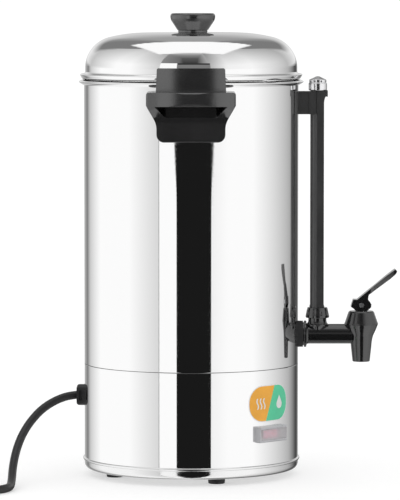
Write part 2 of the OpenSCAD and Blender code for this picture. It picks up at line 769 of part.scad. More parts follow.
module gauge_bracket() {
    block_w2 = shield_w + 1.6;
    jaw_w = shield_w + 5.6;
    jaw_y = shield_back_y + 5.35;
    color(black) difference() {
        union() {
            translate([-block_w2 / 2, -shield_back_y - 0.6, bracket_z]) cube([block_w2, 20, bracket_h]);
            translate([-jaw_w / 2, -jaw_y, bracket_z]) cube([jaw_w, 6.6, bracket_h]);
        }
        inside_tank(body_r + fit);
        translate([0, 0, bracket_z - 1]) linear_extrude(bracket_h + 2) shield_outline(fit);
        front(bracket_z + bracket_h / 2) cylinder(d = handle_screw_d + 2 * fit, h = body_r + 9, $fn = 32);
    }
}

module bracket_screw() {
    color(zinc) front(bracket_z + bracket_h / 2) translate([0, 0, seal_r])
        screw(handle_screw_d, body_r + 8 - seal_r, 10, screw_head_h);
}

module bracket_seal() {
    color(silicone) wall_seal(-90, bracket_z + bracket_h / 2, 14, handle_screw_d + 2 * fit);
}

module gauge_cap() {
    wall_h = cap_h * 0.5;
    hip_z = cap_h * 0.76;
    holes = 8;
    color("lightgrey") translate([0, -gauge_y, shield_top_z]) difference() {
        rotate_extrude($fn = 64) polygon([
            [0, 0], [cap_d / 2 - 0.8, 0], [cap_d / 2, 0.8], [cap_d / 2, wall_h],
            [cap_d / 2 - 0.7, wall_h + 0.8], [cap_d / 2 - 0.7, hip_z],
            [2.4, cap_h - 0.3], [0, cap_h]]);
        translate([0, 0, -1]) cylinder(d = glass_d + 0.5, h = hip_z, $fn = 48);
        for (i = [0:holes - 1]) rotate([0, 0, 360 * (i + 0.5) / holes]) translate([0, 0, wall_h + 2.1])
            rotate([0, 90, 0]) cylinder(d = 2, h = cap_d, $fn = 20);
    }
}

// ---------------------------------------------------------------- tap

module tap_body() {
    neck_d = barrel_d * 1.2;
    color(black) difference() {
        union() {
            translate([0, -tap_y, 0]) rotate_extrude($fn = 96) polygon([
                [0, spout_z], [spout_d / 2 - 0.4, spout_z], [spout_d / 2, spout_z + 0.5],
                [spout_d / 2 + 1.1, spout_z + spout_drop * 0.37], [spout_d / 2 + 1.9, spout_z + spout_drop * 0.65],
                [neck_d / 2, barrel_z - 2], [head_d * 0.424, barrel_z + 3.4],
                [head_d / 2 - 0.5, head_z - 1.6], [head_d / 2, head_z - 0.6], [head_d / 2, head_z], [0, head_z]]);
            front(barrel_z) translate([0, 0, tee_end_y]) cylinder(d = barrel_d, h = tap_y - tee_end_y, $fn = 64);
        }
        upright(tap_y, barrel_z - 3.4, head_z + 1, 2 * chamber_r);
        upright(tap_y, head_z - bonnet_spigot_h - 0.3, head_z + 1, bonnet_thread_d + 2 * fit);
        translate([0, -tap_y, seat_z]) cylinder(d1 = spout_bore, d2 = 2 * chamber_r, h = seat_h + eps);
        upright(tap_y, spout_z - 1, seat_z + eps, spout_bore);
        front(barrel_z) translate([0, 0, tee_end_y - 1])
            cylinder(d = spigot_d + 2 * fit, h = spigot_l + 1.3, $fn = 64);
        front(barrel_z + 1.6) translate([0, 0, tee_end_y])
            cylinder(d = barrel_bore - 2, h = tap_y - tee_end_y, $fn = 48);
    }
}

module tap_bonnet() {
    color(black) difference() {
        translate([0, -tap_y, 0]) rotate_extrude($fn = 96) polygon([
            [0, head_z - bonnet_spigot_h], [bonnet_thread_d / 2, head_z - bonnet_spigot_h],
            [bonnet_thread_d / 2, head_z], [head_d / 2, head_z], [head_d / 2, head_z + 0.6],
            [bonnet_top_d / 2 + 1.2, bonnet_top_z - 2.2], [bonnet_top_d / 2 + 0.5, bonnet_top_z - 0.8],
            [bonnet_top_d / 2 - 0.3, bonnet_top_z], [0, bonnet_top_z]]);
        upright(tap_y, head_z - bonnet_spigot_h - 1, bonnet_top_z - 4, 2 * chamber_r + 1);
        upright(tap_y, head_z, bonnet_top_z + 1, stem_d + 2 * running);
    }
}

module seat_cup() {
    // the seat's cone, moved inwards by the soft gap
    gap = soft_gap * 1.6;
    cup_z = seat_z + 1;
    taper = (chamber_r - spout_bore / 2) / seat_h;
    low_r = spout_bore / 2 + taper * (cup_z - seat_z) - gap;
    color(silicone) translate([0, -tap_y, cup_z]) difference() {
        union() {
            cylinder(r1 = low_r, r2 = low_r + taper * 2, h = 2);
            translate([0, 0, 2]) cylinder(r1 = low_r + taper * 2, r2 = chamber_r - 1, h = 7);
        }
        translate([0, 0, 2.5]) cylinder(d = stem_d + 2 * fit, h = 10, $fn = 48);
    }
}

module valve_stem() {
    color(zinc) difference() {
        union() {
            upright(tap_y, seat_z + 3.5, pin_z, stem_d);
            translate([0, -tap_y, pin_z]) rotate([0, 90, 0])
                cylinder(d = stem_d, h = eye_w, center = true, $fn = 48);
        }
        translate([0, -tap_y, pin_z]) rotate([0, 90, 0])
            cylinder(d = pin_d + 2 * running, h = 20, center = true, $fn = 48);
        // flats beside the eye
        for (s = [-1, 1]) translate([s * (eye_w / 2 + 5), -tap_y, pin_z - 2]) cube([10, 20, 14], center = true);
    }
}

// A point on the lever's paddle: u along it from the pin, v square to it.
function on_paddle(u, v) =
    [u * cos(lever_rise) - v * sin(lever_rise), u * sin(lever_rise) + v * cos(lever_rise)];

// Outline of the lever from the side: [distance outwards from the pin, height above it].
module lever_side() {
    foot = hub_z - pin_z;
    polygon([
        [-5.8, foot], [5.8, foot], [6.9, foot + 1], [10, foot + 3.8], [10.4, foot + 6.7], [8.4, foot + 9.8],
        [6.8, foot + 11.4], [7.2, foot + 15.3],
        on_paddle(13, 3.8), on_paddle(16, 3.5), on_paddle(lever_l - 10.5, 3.2), on_paddle(lever_l - 3, 3.7),
        on_paddle(lever_l - 0.3, 4.8), on_paddle(lever_l, 6.6), on_paddle(lever_l - 0.8, 7.9),
        on_paddle(lever_l - 12, 8.1), on_paddle(0, 7.2),
        [-8.6, foot + 11.8], [-10.9, foot + 4.3], [-7.8, foot + 2.3]]);
}

module tap_lever() {
    slot = eye_w + 2 * running + 0.2;
    slot_r = stem_d / 2 + 0.4;
    slot_h = 9;
    color(black) translate([0, -tap_y, pin_z]) difference() {
        intersection() {
            rotate([90, 0, -90]) linear_extrude(paddle_w + 4, center = true) lever_side();
            // plan of the lever: a narrow hub that widens to the paddle
            translate([0, 0, -20]) linear_extrude(80) polygon([
                [-hub_w / 2, 12], [hub_w / 2, 12], [hub_w / 2, -9], [hub_w * 0.36, -13],
                [paddle_w * 0.42, -lever_l * 0.5], [paddle_w / 2, -lever_l * 0.66],
                [paddle_w * 0.46, -lever_l * 0.78], [-paddle_w * 0.46, -lever_l * 0.78],
                [-paddle_w / 2, -lever_l * 0.66], [-paddle_w * 0.42, -lever_l * 0.5],
                [-hub_w * 0.36, -13], [-hub_w / 2, -9]]);
        }
        rotate([0, 90, 0]) cylinder(d = pin_d + 2 * fit, h = hub_w + 20, center = true, $fn = 48);
        // slot for the stem's eye, opened forwards for the lever's whole swing
        rotate([90, 0, -90]) linear_extrude(slot, center = true) {
            circle(r = slot_r, $fn = 48);
            polygon([
                [-slot_r, 0], [-slot_r, -slot_h],
                [slot_r * cos(lever_swing) + (slot_h + slot_r * sin(lever_swing)) * tan(lever_swing), -slot_h],
                slot_r * [cos(lever_swing), sin(lever_swing)], [0, 0]]);
        }
    }
}

module lever_pin() {
    color(zinc) translate([0, -tap_y, pin_z]) rotate([0, 90, 0]) {
        cylinder(d = pin_d, h = hub_w + 1.2, center = true, $fn = 48);
        for (s = [-1, 1]) translate([0, 0, s * (hub_w / 2 + 0.5)])
            cylinder(d = pin_d + 2, h = 1, center = true, $fn = 48);
    }
}

// ---------------------------------------------------------------- switch

frame_end = 1.9;      // width of the frame's front at its ends
frame_side = 3;       // width of the frame's front above and below the window
frame_slope = 0.3;
frame_edge = 0.7;
frame_corner = 2.2;
window_l = switch_l - 2 * frame_end;
window_h = switch_h - 2 * frame_side;
window_depth = 4.5;
cover_lip = 0.6;
rocker_l = window_l - 9.8;
rocker_h = window_h - 2.4;
pocket_l = rocker_l + 2.6;
pocket_h = rocker_h + 0.8;
pivot_d = 2.4;
switch_body_y = pocket_l / 2 + 1.2;
switch_body_z = pocket_h / 2 + 1.2;

// Places children at the switch, with X outwards from the urn's axis and Y along the frame.
module at_switch() rotate([0, 0, switch_angle]) translate([0, 0, switch_z]) children();

// A block from x0 to x1 with rounded corners.
module rounded_block(x0, x1, w, h, r) {
    translate([x0, 0, 0]) rotate([90, 0, 90]) linear_extrude(x1 - x0) {
        square([w - 2 * r, h], center = true);
        square([w, h - 2 * r], center = true);
        for (i = [-1, 1]) for (j = [-1, 1]) translate([i * (w / 2 - r), j * (h / 2 - r)]) circle(r = r, $fn = 32);
    }
}

// Outline of the frame's taper, for a frame that is w wide at the skirt.
module frame_taper(w) {
    front_w = w / 2 - frame_slope;
    polygon([
        [body_r - 8, -w / 2], [body_r + 0.8, -w / 2], [frame_x - frame_edge, -front_w],
        [frame_x, frame_edge - front_w], [frame_x, front_w - frame_edge],
        [frame_x - frame_edge, front_w], [body_r + 0.8, w / 2], [body_r - 8, w / 2]]);
}

module switch_housing() {
    color("dimgray") difference() {
        union() {
            difference() {
                intersection() {
                    at_switch() rounded_block(body_r - 6, frame_x, switch_l, switch_h, frame_corner);
                    at_switch() linear_extrude(switch_h, center = true) frame_taper(switch_l);
                    at_switch() rotate([90, 0, 0]) linear_extrude(switch_l, center = true) frame_taper(switch_h);
                }
                inside_tank(body_r + fit);
            }
            at_switch() translate([body_r - 26, -switch_body_y, -switch_body_z])
                cube([27, 2 * switch_body_y, 2 * switch_body_z]);
        }
        at_switch() {
            translate([frame_x - window_depth, -window_l / 2, -window_h / 2])
                cube([window_depth + 5, window_l, window_h]);
            translate([rocker_x - 8, -pocket_l / 2, -pocket_h / 2]) cube([20, pocket_l, pocket_h]);
            translate([rocker_x, 0, 0]) cylinder(d = pivot_d + 2 * running, h = switch_h, center = true, $fn = 32);
            rounded_block(frame_x - cover_t, frame_x + 1, window_l + 2 * cover_lip, window_h + 2 * cover_lip, 1);
        }
    }
}

module switch_rocker() {
    l = rocker_l / 2;
    color("crimson", 0.8) at_switch() translate([rocker_x, 0, 0]) {
        rotate([0, 0, rocker_tilt]) linear_extrude(rocker_h, center = true) polygon([
            [-3, -7], [6.6, -l], [7.2, -l * 0.5], [7.5, 0], [7.2, l * 0.5], [6.6, l], [-3, 7]]);
        cylinder(d = pivot_d, h = 2 * switch_body_z - 0.4, center = true, $fn = 32);
    }
}

module switch_cover() {
    gap = 0.05;
    color("white", 0.4) at_switch() rounded_block(frame_x - cover_t, frame_x + 0.2,
        window_l + 2 * (cover_lip - gap), window_h + 2 * (cover_lip - gap), 1);
}

// ---------------------------------------------------------------- cord and plug

gland_neck_d = 15.6;

// The route of the cord from inside the skirt to its coil, and from the coil to the plug.
lead_route = [
    [0, 101, 82], [0, 110, 82], [0, 119, 81.6], [-3, 131, 79.6], [-9, 143.5, 74.6], [-17, 155, 67],
    [-28, 165, 56.5], [-42, 172, 46], [-58, 176.5, 35.5], [-76, 179, 25.5], [-95, 180, 16.5],
    [-115, 180, 9], [-134, 180.5, 4.8], [-149, 183.5, 4.2], [-160.5, 191, 4.2],
    [-168.5, 203, 4.2], [-171, 217, 4.2], [-171, 231, 4.2], [-171, 244, 4.2]
];
tail_route = [[-104, 320, 12.6], [-93, 320, 12.7], [-82, 320, 14.2], [-72, 320, 16.8], [-61, 320, 18]];
coil_at = [-121, 270];
coil_ring_r = 46;
coil_w = 17.2;
coil_h = 16.8;
plug_at = [-61, 320, 18];
plug_l = 54;
plug_r = 18;
pin_gap = 19;

// Direction of a route at point i.
function heading(p, i) =
    let (d = p[min(i + 1, len(p) - 1)] - p[max(i - 1, 0)]) d / norm(d);

// A ring of n points of radius r round point i of a route, square to it.
function ring(p, i, r, n) =
    let (
        t = heading(p, i),
        side = cross(t, [0, 0, 1]),
        s = norm(side) > 0.05 ? side / norm(side) : [1, 0, 0],
        u = cross(s, t))
    [for (k = [0:n - 1]) let (a = 360 * k / n) p[i] + r * (cos(a) * s + sin(a) * u)];

// A tube along a route.
module tube(p, d, n = 10) {
    m = len(p);
    points = [for (i = [0:m - 1]) each ring(p, i, d / 2, n)];
    sides = [for (i = [0:m - 2]) for (k = [0:n - 1])
        [i * n + k, i * n + (k + 1) % n, (i + 1) * n + (k + 1) % n, (i + 1) * n + k]];
    caps = [[for (k = [n - 1:-1:0]) k], [for (k = [0:n - 1]) (m - 1) * n + k]];
    polyhedron(points, concat(sides, caps));
}

module cord_gland() {
    h = gland_h / 2;
    face = body_r + gland_out;
    r = 3.4;
    color(black) difference() {
        union() {
            intersection() {
                rotate([90, 0, 90]) linear_extrude(face + 5)
                    translate([0, gland_z]) {
                        square([gland_w - 12, gland_h], center = true);
                        square([gland_w, gland_h - 12], center = true);
                        for (i = [-1, 1]) for (j = [-1, 1])
                            translate([i * (gland_w / 2 - 6), j * (gland_h / 2 - 6)]) circle(r = 6, $fn = 48);
                    }
                rotate([90, 0, 0]) linear_extrude(40, center = true) translate([0, gland_z])
                    polygon(concat([[body_r - 3, -h], [body_r + 1.2, -h]], arc([face - r, -h + r], r, -90, 0, 5),
                        arc([face - r, h - r], r, 0, 90, 5), [[body_r + 1.2, h], [body_r - 3, h]]));
            }
            radial(0, gland_z) translate([0, 0, body_r - 7]) cylinder(d = gland_neck_d, h = 8, $fn = 48);
            radial(0, gland_z) translate([0, 0, body_r - 7])
                cylinder(d1 = gland_neck_d, d2 = gland_neck_d + 2.4, h = 4, $fn = 48);
        }
        difference() {
            inside_tank(body_r);
            radial(0, gland_z) cylinder(d = gland_neck_d + 6, h = body_r - 2.4, $fn = 48);
            radial(0, gland_z) cylinder(d = gland_neck_d, h = body_r + 5, $fn = 48);
        }
        radial(0, gland_z) cylinder(d = cord_d + 0.3, h = face + 5, $fn = 48);
        // finger slots of the clamp, one each side
        for (s = [-1, 1]) translate([body_r + 4, s * (gland_w / 2), gland_z]) cube([3.4, 5, 10], center = true);
    }
}

module placed_gland() rotate([0, 0, 90]) cord_gland();

module cord_lead() color(black) tube(lead_route, cord_d);

module cord_tail() color(black) tube(tail_route, cord_d);

module cord_coil() {
    color(black) translate([coil_at[0], coil_at[1], 0]) rotate_extrude($fn = 96)
        translate([coil_ring_r - coil_w / 2, 0]) square([coil_w, coil_h]);
}

module plug_body() {
    color(black) translate(plug_at) rotate([0, 90, 0]) difference() {
        rotate_extrude($fn = 72) polygon([
            [0, 0], [5.4, 0], [6.8, 14], [9.4, 20], [11.5, 26], [12.4, 33], [14, 37.5],
            [plug_r - 0.8, 40], [plug_r, 41], [plug_r, plug_l - 1], [plug_r - 1, plug_l], [0, plug_l]]);
        for (s = [-1, 1]) translate([0, s * pin_gap / 2, plug_l - 6])
            cylinder(d = 4.8 + 2 * fit, h = 10, $fn = 32);
        // flats with earth grooves, top and bottom
        for (s = [-1, 1]) translate([s * (plug_r + 3), 0, plug_l - 6]) cube([10, 6, 16], center = true);
    }
}

module plug_pins() {
    color(zinc) for (s = [-1, 1]) translate(plug_at) rotate([0, 90, 0])
        translate([0, s * pin_gap / 2, plug_l - 6]) {
        cylinder(d = 4.8, h = 24, $fn = 32);
        translate([0, 0, 24]) cylinder(d1 = 4.8, d2 = 3.4, h = 1, $fn = 32);
    }
}

// ---------------------------------------------------------------- heater

plate_z = floor_z - sheet_t * 1.25 - plate_t;
sensor_x = 32;
sensor_h = 9;
block_y = body_r - 50;

module heater_plate() {
    color("darkgray") translate([0, 0, plate_z]) cylinder(d = plate_d, h = plate_t, $fn = 96);
}

module heating_element() {
    gap = 34;
    r = element_ring_d / 2;
    z = plate_z - element_d / 2;
    color("gray") {
        rotate([0, 0, 90 + gap / 2]) translate([0, 0, z]) rotate_extrude(angle = 360 - gap, $fn = 96)
            translate([r, 0]) circle(d = element_d, $fn = 24);
        for (s = [-1, 1]) rotate([0, 0, 90 + s * gap / 2]) translate([r, 0, z]) {
            translate([0, 0, -24]) cylinder(d = element_d + 1.6, h = 24 + element_d / 2 - 1, $fn = 32);
            translate([0, 0, -32]) cylinder(d = 3.4, h = 10, $fn = 24);
        }
    }
}

module sensor(x, d, h) {
    translate([x, 0, plate_z - h]) {
        cylinder(d = d, h = h, $fn = 48);
        translate([-d / 2 - 5, -4, h - 1.2]) cube([d + 10, 8, 1.2]);
        for (s = [-1, 1]) translate([s * d * 0.3 - 0.4, -3, -7]) cube([0.8, 6, 8]);
    }
}

module thermostat() color("tan") sensor(sensor_x, 24, sensor_h);

module thermal_cutout() color("sienna") sensor(-sensor_x, 17, sensor_h - 1);

module terminal_block() {
    color("ivory") translate([-17, block_y, pan_top_z]) difference() {
        cube([34, 18, 16]);
        for (i = [0:2]) translate([6 + 11 * i, -1, 9]) rotate([-90, 0, 0]) cylinder(d = 5, h = 20, $fn = 32);
        for (i = [0:2]) translate([6 + 11 * i, 9, 9]) cylinder(d = 3.6, h = 10, $fn = 24);
    }
}

module wiring() {
    d = 2.6;
    entry_z = pan_top_z + 9;
    element_low = plate_z - element_d / 2 - 32;
    element_x = element_ring_d / 2 * sin(17);
    element_y = element_ring_d / 2 * cos(17);
    color("peru") {
        for (s = [-1, 1]) tube([
            [s * 11, block_y - 3, entry_z], [s * 14, block_y - 10, entry_z + 0.4],
            [s * 19, block_y - 14, entry_z + 7], [s * 20, block_y - 14, 48],
            [s * element_x, element_y - 2, element_low - 12],
            [s * element_x, element_y, element_low - 0.1]], d, 8);
        tube([[0, block_y - 3, entry_z], [2, block_y - 14, entry_z + 1.4], [12, 20, 40], [22, 4, 74],
              [sensor_x - 7.2, 0, plate_z - sensor_h - 14], [sensor_x - 7.2, 0, plate_z - sensor_h - 7.1]], d, 8);
    }
}

tank();
skirt();
base_pan();
feet();
foot_screws();
foot_nuts();
tie_stud();
tie_nut();
handle_left();
handle_right();
handle_screws();
handle_seals();
tap_tee();
tee_nut();
tee_seal_inner();
tee_seal_outer();
gauge_seal();
gauge_nut();
gauge_glass();
gauge_shield();
gauge_bracket();
bracket_screw();
bracket_seal();
gauge_cap();
tap_body();
tap_bonnet();
valve_stem();
seat_cup();
tap_lever();
lever_pin();
lid();
lid_collar();
lid_knob();
knob_screw();
knob_washer();
switch_housing();
switch_rocker();
switch_cover();
placed_gland();  // cord_gland
cord_lead();
cord_coil();
cord_tail();
plug_body();
plug_pins();
heater_plate();
heating_element();
thermostat();
thermal_cutout();
terminal_block();
wiring();
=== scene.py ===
import math

import bmesh
import bpy
from bpy.props import FloatProperty, FloatVectorProperty, IntProperty, PointerProperty
from mathutils import Matrix, Vector


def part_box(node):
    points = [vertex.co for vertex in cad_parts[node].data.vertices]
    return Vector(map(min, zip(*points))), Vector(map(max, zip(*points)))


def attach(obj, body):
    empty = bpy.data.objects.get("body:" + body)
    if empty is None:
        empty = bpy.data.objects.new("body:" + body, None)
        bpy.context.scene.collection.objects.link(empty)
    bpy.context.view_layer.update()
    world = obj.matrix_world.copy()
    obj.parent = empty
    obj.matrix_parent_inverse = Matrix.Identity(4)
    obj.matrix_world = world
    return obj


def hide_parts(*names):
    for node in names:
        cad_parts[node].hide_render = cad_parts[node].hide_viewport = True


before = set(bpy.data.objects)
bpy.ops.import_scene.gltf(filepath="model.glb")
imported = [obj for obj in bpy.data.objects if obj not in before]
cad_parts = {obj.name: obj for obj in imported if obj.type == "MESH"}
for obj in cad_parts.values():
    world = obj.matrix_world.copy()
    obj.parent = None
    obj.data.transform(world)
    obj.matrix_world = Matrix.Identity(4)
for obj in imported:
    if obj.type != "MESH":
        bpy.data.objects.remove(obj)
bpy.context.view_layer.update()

bl_info = {
    "name": "Hot Water Urn",
    "version": (1, 0, 0),
    "blender": (4, 5, 0),
    "location": "3D View > Sidebar > Urn",
    "description": "Builds a polished hot water urn with its lid, handles, gauge, tap and cord",
    "category": "Object",
}

MM = 0.001

# sizes that several pieces share, in millimetres
SHELL_R, SHEET, HEM = 110.0, 0.8, 17.4  # outside of the tank and the skirt, their sheet, the skirt's lower edge

# places of turned pieces: upright through the gauge and through the tap, and out along the barrel
GAUGE_AXIS, TAP_AXIS = Matrix.Translation((0, -129.9 * MM, 0)), Matrix.Translation((0, -175.1 * MM, 0))
BARREL_AXIS = Matrix.Translation((0, 0, 145 * MM)) @ Matrix.Rotation(math.radians(90), 4, "X")


# ---------------------------------------------------------------- settings

def length_setting(name, description, default):
    return FloatProperty(name=name, description=description, subtype="DISTANCE", unit="LENGTH", default=default)


def angle_setting(name, description, degrees):
    return FloatProperty(
        name=name, description=description, subtype="ANGLE", unit="ROTATION", default=math.radians(degrees))


def colour_setting(name, description, default):
    return FloatVectorProperty(
        name=name, description=description, subtype="COLOR", size=3, min=0, max=1, default=default)


class SteelSettings(bpy.types.PropertyGroup):
    """Sheet steel of the tank, skirt, base and lid."""
    colour: colour_setting("Colour", "Colour of the polished sheet", (0.93,) * 3)
    haze: FloatProperty(
        name="Haze", description="Roughness of the mirror polish", subtype="FACTOR",
        min=0, max=1, default=0.035)
    segments: IntProperty(
        name="Segments", description="Sides of every turned shell", min=48, max=512, default=256)
    corner: length_setting("Corner", "Radius inside the tank's lower corner", 0.008)


class MouldingSettings(bpy.types.PropertyGroup):
    """Black moulded pieces: handles, knob, gauge and tap."""
    handle_colour: colour_setting("Handle colour", "Colour of the handles and the knob", (0.022, 0.022, 0.0225))
    gloss_colour: colour_setting("Tap colour", "Colour of the tap and the gauge", (0.012, 0.012, 0.0125))
    handle_edge: length_setting("Handle edge", "Radius of the handles' edges", 0.0011)
    tap_edge: length_setting("Tap edge", "Radius of the tap's and the gauge's edges", 0.0005)


class StickerSettings(bpy.types.PropertyGroup):
    """Two-colour sticker on the skirt."""
    width: length_setting("Width", "Width of the sticker along the skirt", 0.057)
    height: length_setting("Height", "Height of the sticker", 0.037)
    turn: angle_setting("Turn", "Place of the sticker round the skirt, from +X", 226.8)
    centre: length_setting("Centre", "Height of the sticker's centre", 0.0814)
    warm: colour_setting("Warm half", "Colour of the half nearer the handle", (1.0, 0.47, 0.05))
    fresh: colour_setting("Fresh half", "Colour of the half nearer the tap", (0.1, 0.68, 0.38))


class CordSettings(bpy.types.PropertyGroup):
    """Mains cord."""
    diameter: length_setting("Diameter", "Diameter of the sheath", 0.0084)
    sides: IntProperty(name="Sides", description="Sides of the sheath", min=8, max=48, default=20)
    turns: IntProperty(
        name="Turns", description="Whole turns of the coil before it leaves for the plug", min=1, max=6, default=3)


class StageSettings(bpy.types.PropertyGroup):
    """Camera, floor and room."""
    distance: length_setting("Distance", "Distance of the camera from the tank's axis", 4.06)
    eye: length_setting("Eye height", "Height of the camera", 0.5177)
    lens: FloatProperty(name="Lens", description="Focal length", subtype="DISTANCE_CAMERA", default=284.708)
    tilt: angle_setting("Tilt", "How far the camera looks down", 4.0326)


# ---------------------------------------------------------------- meshes

def arc(cx, cz, radius, start, end, steps=8):
    """Points of an arc, in degrees."""
    turns = [math.radians(start + (end - start) * i / steps) for i in range(steps + 1)]
    return [(cx + radius * math.cos(a), cz + radius * math.sin(a)) for a in turns]


def eased(points, per_step=4):
    """A smooth line through points of any size, with per_step steps between two of them."""
    rows = [Vector(p) for p in points]
    rows = [rows[0] * 2 - rows[1]] + rows + [rows[-1] * 2 - rows[-2]]
    line = []
    for i in range(1, len(rows) - 2):
        a, b, c, d = rows[i - 1:i + 3]
        for k in range(per_step):
            t = k / per_step
            line.append(tuple(0.5 * (2 * b + (c - a) * t + (2 * a - 5 * b + 4 * c - d) * t * t
                                     + (3 * b - a - 3 * c + d) * t ** 3)))
    return line + [tuple(rows[-2])]


def gentle(t):
    """0 up to 0, 1 from 1, and a soft change between."""
    t = min(max(t, 0), 1)
    return t * t * (3 - 2 * t)


def metres(points):
    return [tuple(c * MM for c in p) for p in points]


def coated(mesh, material):
    """Gives a mesh one material in place of those it had."""
    mesh.materials.clear()
    mesh.materials.append(material)


def add_object(name, data, material=None):
    piece = bpy.data.objects.new(name, data)
    bpy.context.scene.collection.objects.link(piece)
    if material:
        coated(data, material)
    return piece


def dropped(piece):
    """Removes a piece and its mesh."""
    mesh = piece.data
    bpy.data.objects.remove(piece)
    bpy.data.meshes.remove(mesh)


def line_object(name, points):
    """A mesh of points joined in order."""
    mesh = bpy.data.meshes.new(name)
    mesh.from_pydata([Vector(p) for p in points], [(i, i + 1) for i in range(len(points) - 1)], [])
    return add_object(name, mesh)


def baked(piece):
    """Turns the evaluated object into a plain mesh and drops its modifiers."""
    bpy.context.view_layer.update()
    graph = bpy.context.evaluated_depsgraph_get()
    mesh = bpy.data.meshes.new_from_object(piece.evaluated_get(graph))
    piece.modifiers.clear()
    old, piece.data = piece.data, mesh
    mesh.name = piece.name
    if old.users == 0:
        bpy.data.meshes.remove(old)
    return piece


def outward(mesh):
    """Merges doubles and turns a closed mesh's faces outwards."""
    shape = bmesh.new()
    shape.from_mesh(mesh)
    bmesh.ops.remove_doubles(shape, verts=shape.verts, dist=1e-7)
    bmesh.ops.dissolve_degenerate(shape, edges=shape.edges, dist=1e-7)
    bmesh.ops.recalc_face_normals(shape, faces=shape.faces)
    if shape.calc_volume(signed=True) < 0:
        bmesh.ops.reverse_faces(shape, faces=shape.faces)
    shape.to_mesh(mesh)
    shape.free()


def smooth(mesh, degrees=32):
    mesh.shade_smooth()
    mesh.set_sharp_from_angle(angle=math.radians(degrees))


BUILT = {"tree": None}  # the node tree that node() and feed() work in


def new_tree(name, kind, inputs, outputs):
    """Starts a tree and gives the sockets of its two ends. An input is (name, type, default)."""
    tree = BUILT["tree"] = bpy.data.node_groups.new(name, kind)
    for label, socket_type, default in inputs:
        socket = tree.interface.new_socket(name=label, in_out="INPUT", socket_type="NodeSocket" + socket_type)
        if default is not None:
            socket.default_value = default
    for label, socket_type in outputs:
        tree.interface.new_socket(name=label, in_out="OUTPUT", socket_type="NodeSocket" + socket_type)
    return tree.nodes.new("NodeGroupInput").outputs, tree.nodes.new("NodeGroupOutput").inputs


def feed(socket, value):
    """Links a socket to another one or to a node's first output, or sets its value."""
    if isinstance(value, bpy.types.Node):
        value = value.outputs[0]
    if isinstance(value, bpy.types.NodeSocket):
        BUILT["tree"].links.new(value, socket)
    else:
        socket.default_value = value


def node(kind, links=(), **values):
    """A node with attributes set from values, and inputs fed from links."""
    made = BUILT["tree"].nodes.new(kind)
    for key, value in values.items():
        setattr(made, key, value)
    for key, value in dict(links).items():
        feed(made.inputs[key], value)
    return made


def math_node(operation, a, b=0.0, c=0.0):
    return node("ShaderNodeMath", {0: a, 1: b, 2: c}, operation=operation).outputs[0]


def times(first, *others):
    """The product of sockets and values."""
    for value in others:
        first = math_node("MULTIPLY", first, value)
    return first


def geometry_tree(name, *inputs):
    """An empty geometry tree that gets a mesh and its finish beside its own inputs."""
    return new_tree(name, "GeometryNodeTree", [
        ("Start", "Geometry", None), *inputs, ("Finish", "Material", None)], [("Shape", "Geometry")])


def end_tree(shape, start, end):
    """Ends a geometry tree in plain faces that have the finish."""
    real = node("GeometryNodeRealizeInstances", {"Geometry": shape})
    feed(end[0], node("GeometryNodeSetMaterial", {"Geometry": real, "Material": start["Finish"]}))


def turned_tree():
    """Turns a line of points, each (radius, 0, height), round the Z axis."""
    start, end = geometry_tree("Turned shape", ("Segments", "Int", 96))
    size = node("GeometryNodeAttributeDomainSize", {"Geometry": start["Start"]}, component="MESH")
    rows = size.outputs["Point Count"]
    columns = math_node("ADD", start["Segments"], 1.0)
    grid = node("GeometryNodeMeshGrid", {
        "Size X": 1.0, "Size Y": 1.0, "Vertices X": columns, "Vertices Y": rows})
    index = node("GeometryNodeInputIndex")
    row = math_node("MODULO", index, rows)
    column = math_node("FLOOR", math_node("DIVIDE", math_node("ADD", index, 0.5), rows))
    sample = node("GeometryNodeSampleIndex", {
        "Geometry": start["Start"], "Value": node("GeometryNodeInputPosition"), "Index": row},
        data_type="FLOAT_VECTOR", domain="POINT")
    angle = times(math_node("DIVIDE", column, start["Segments"]), math.tau)
    spin = node("ShaderNodeVectorRotate", {"Vector": sample.outputs["Value"], "Angle": angle},
                rotation_type="Z_AXIS")
    shape = node("GeometryNodeSetPosition", {"Geometry": grid.outputs["Mesh"], "Position": spin})
    merged = node("GeometryNodeMergeByDistance", {"Geometry": shape, "Distance": 1e-7})
    end_tree(merged, start, end)


def ring_tree():
    """Repeats the start mesh round the Z axis."""
    start, end = geometry_tree("Ring of pieces", ("Count", "Int", 4), ("First angle", "Float", 0.0))
    points = node("GeometryNodePoints", {"Count": start["Count"]})
    step = math_node("DIVIDE", math.tau, start["Count"])
    index = node("GeometryNodeInputIndex")
    angle = math_node("MULTIPLY_ADD", index, step, start["First angle"])
    turn = node("ShaderNodeCombineXYZ", {"Z": angle})
    copies = node("GeometryNodeInstanceOnPoints", {
        "Points": points, "Instance": start["Start"], "Rotation": turn})
    end_tree(copies, start, end)


def sheath_tree():
    """A round tube along a line of points."""
    start, end = geometry_tree(
        "Sheath along a line", ("Diameter", "Float", 0.008), ("Sides", "Int", 16))
    line = node("GeometryNodeMeshToCurve", {"Mesh": start["Start"]})
    section = node("GeometryNodeCurvePrimitiveCircle", {
        "Resolution": start["Sides"], "Radius": times(start["Diameter"], 0.5)})
    tube = node("GeometryNodeCurveToMesh", {"Curve": line, "Profile Curve": section, "Fill Caps": True})
    round_faces = node("GeometryNodeSetShadeSmooth", {"Geometry": tube, "Shade Smooth": True})
    end_tree(round_faces, start, end)


MADE = {}


def once(maker):
    """The tree that a maker builds, which is built once and shared."""
    if maker not in MADE:
        before = BUILT["tree"]
        maker()
        MADE[maker], BUILT["tree"] = BUILT["tree"], before
    return MADE[maker]


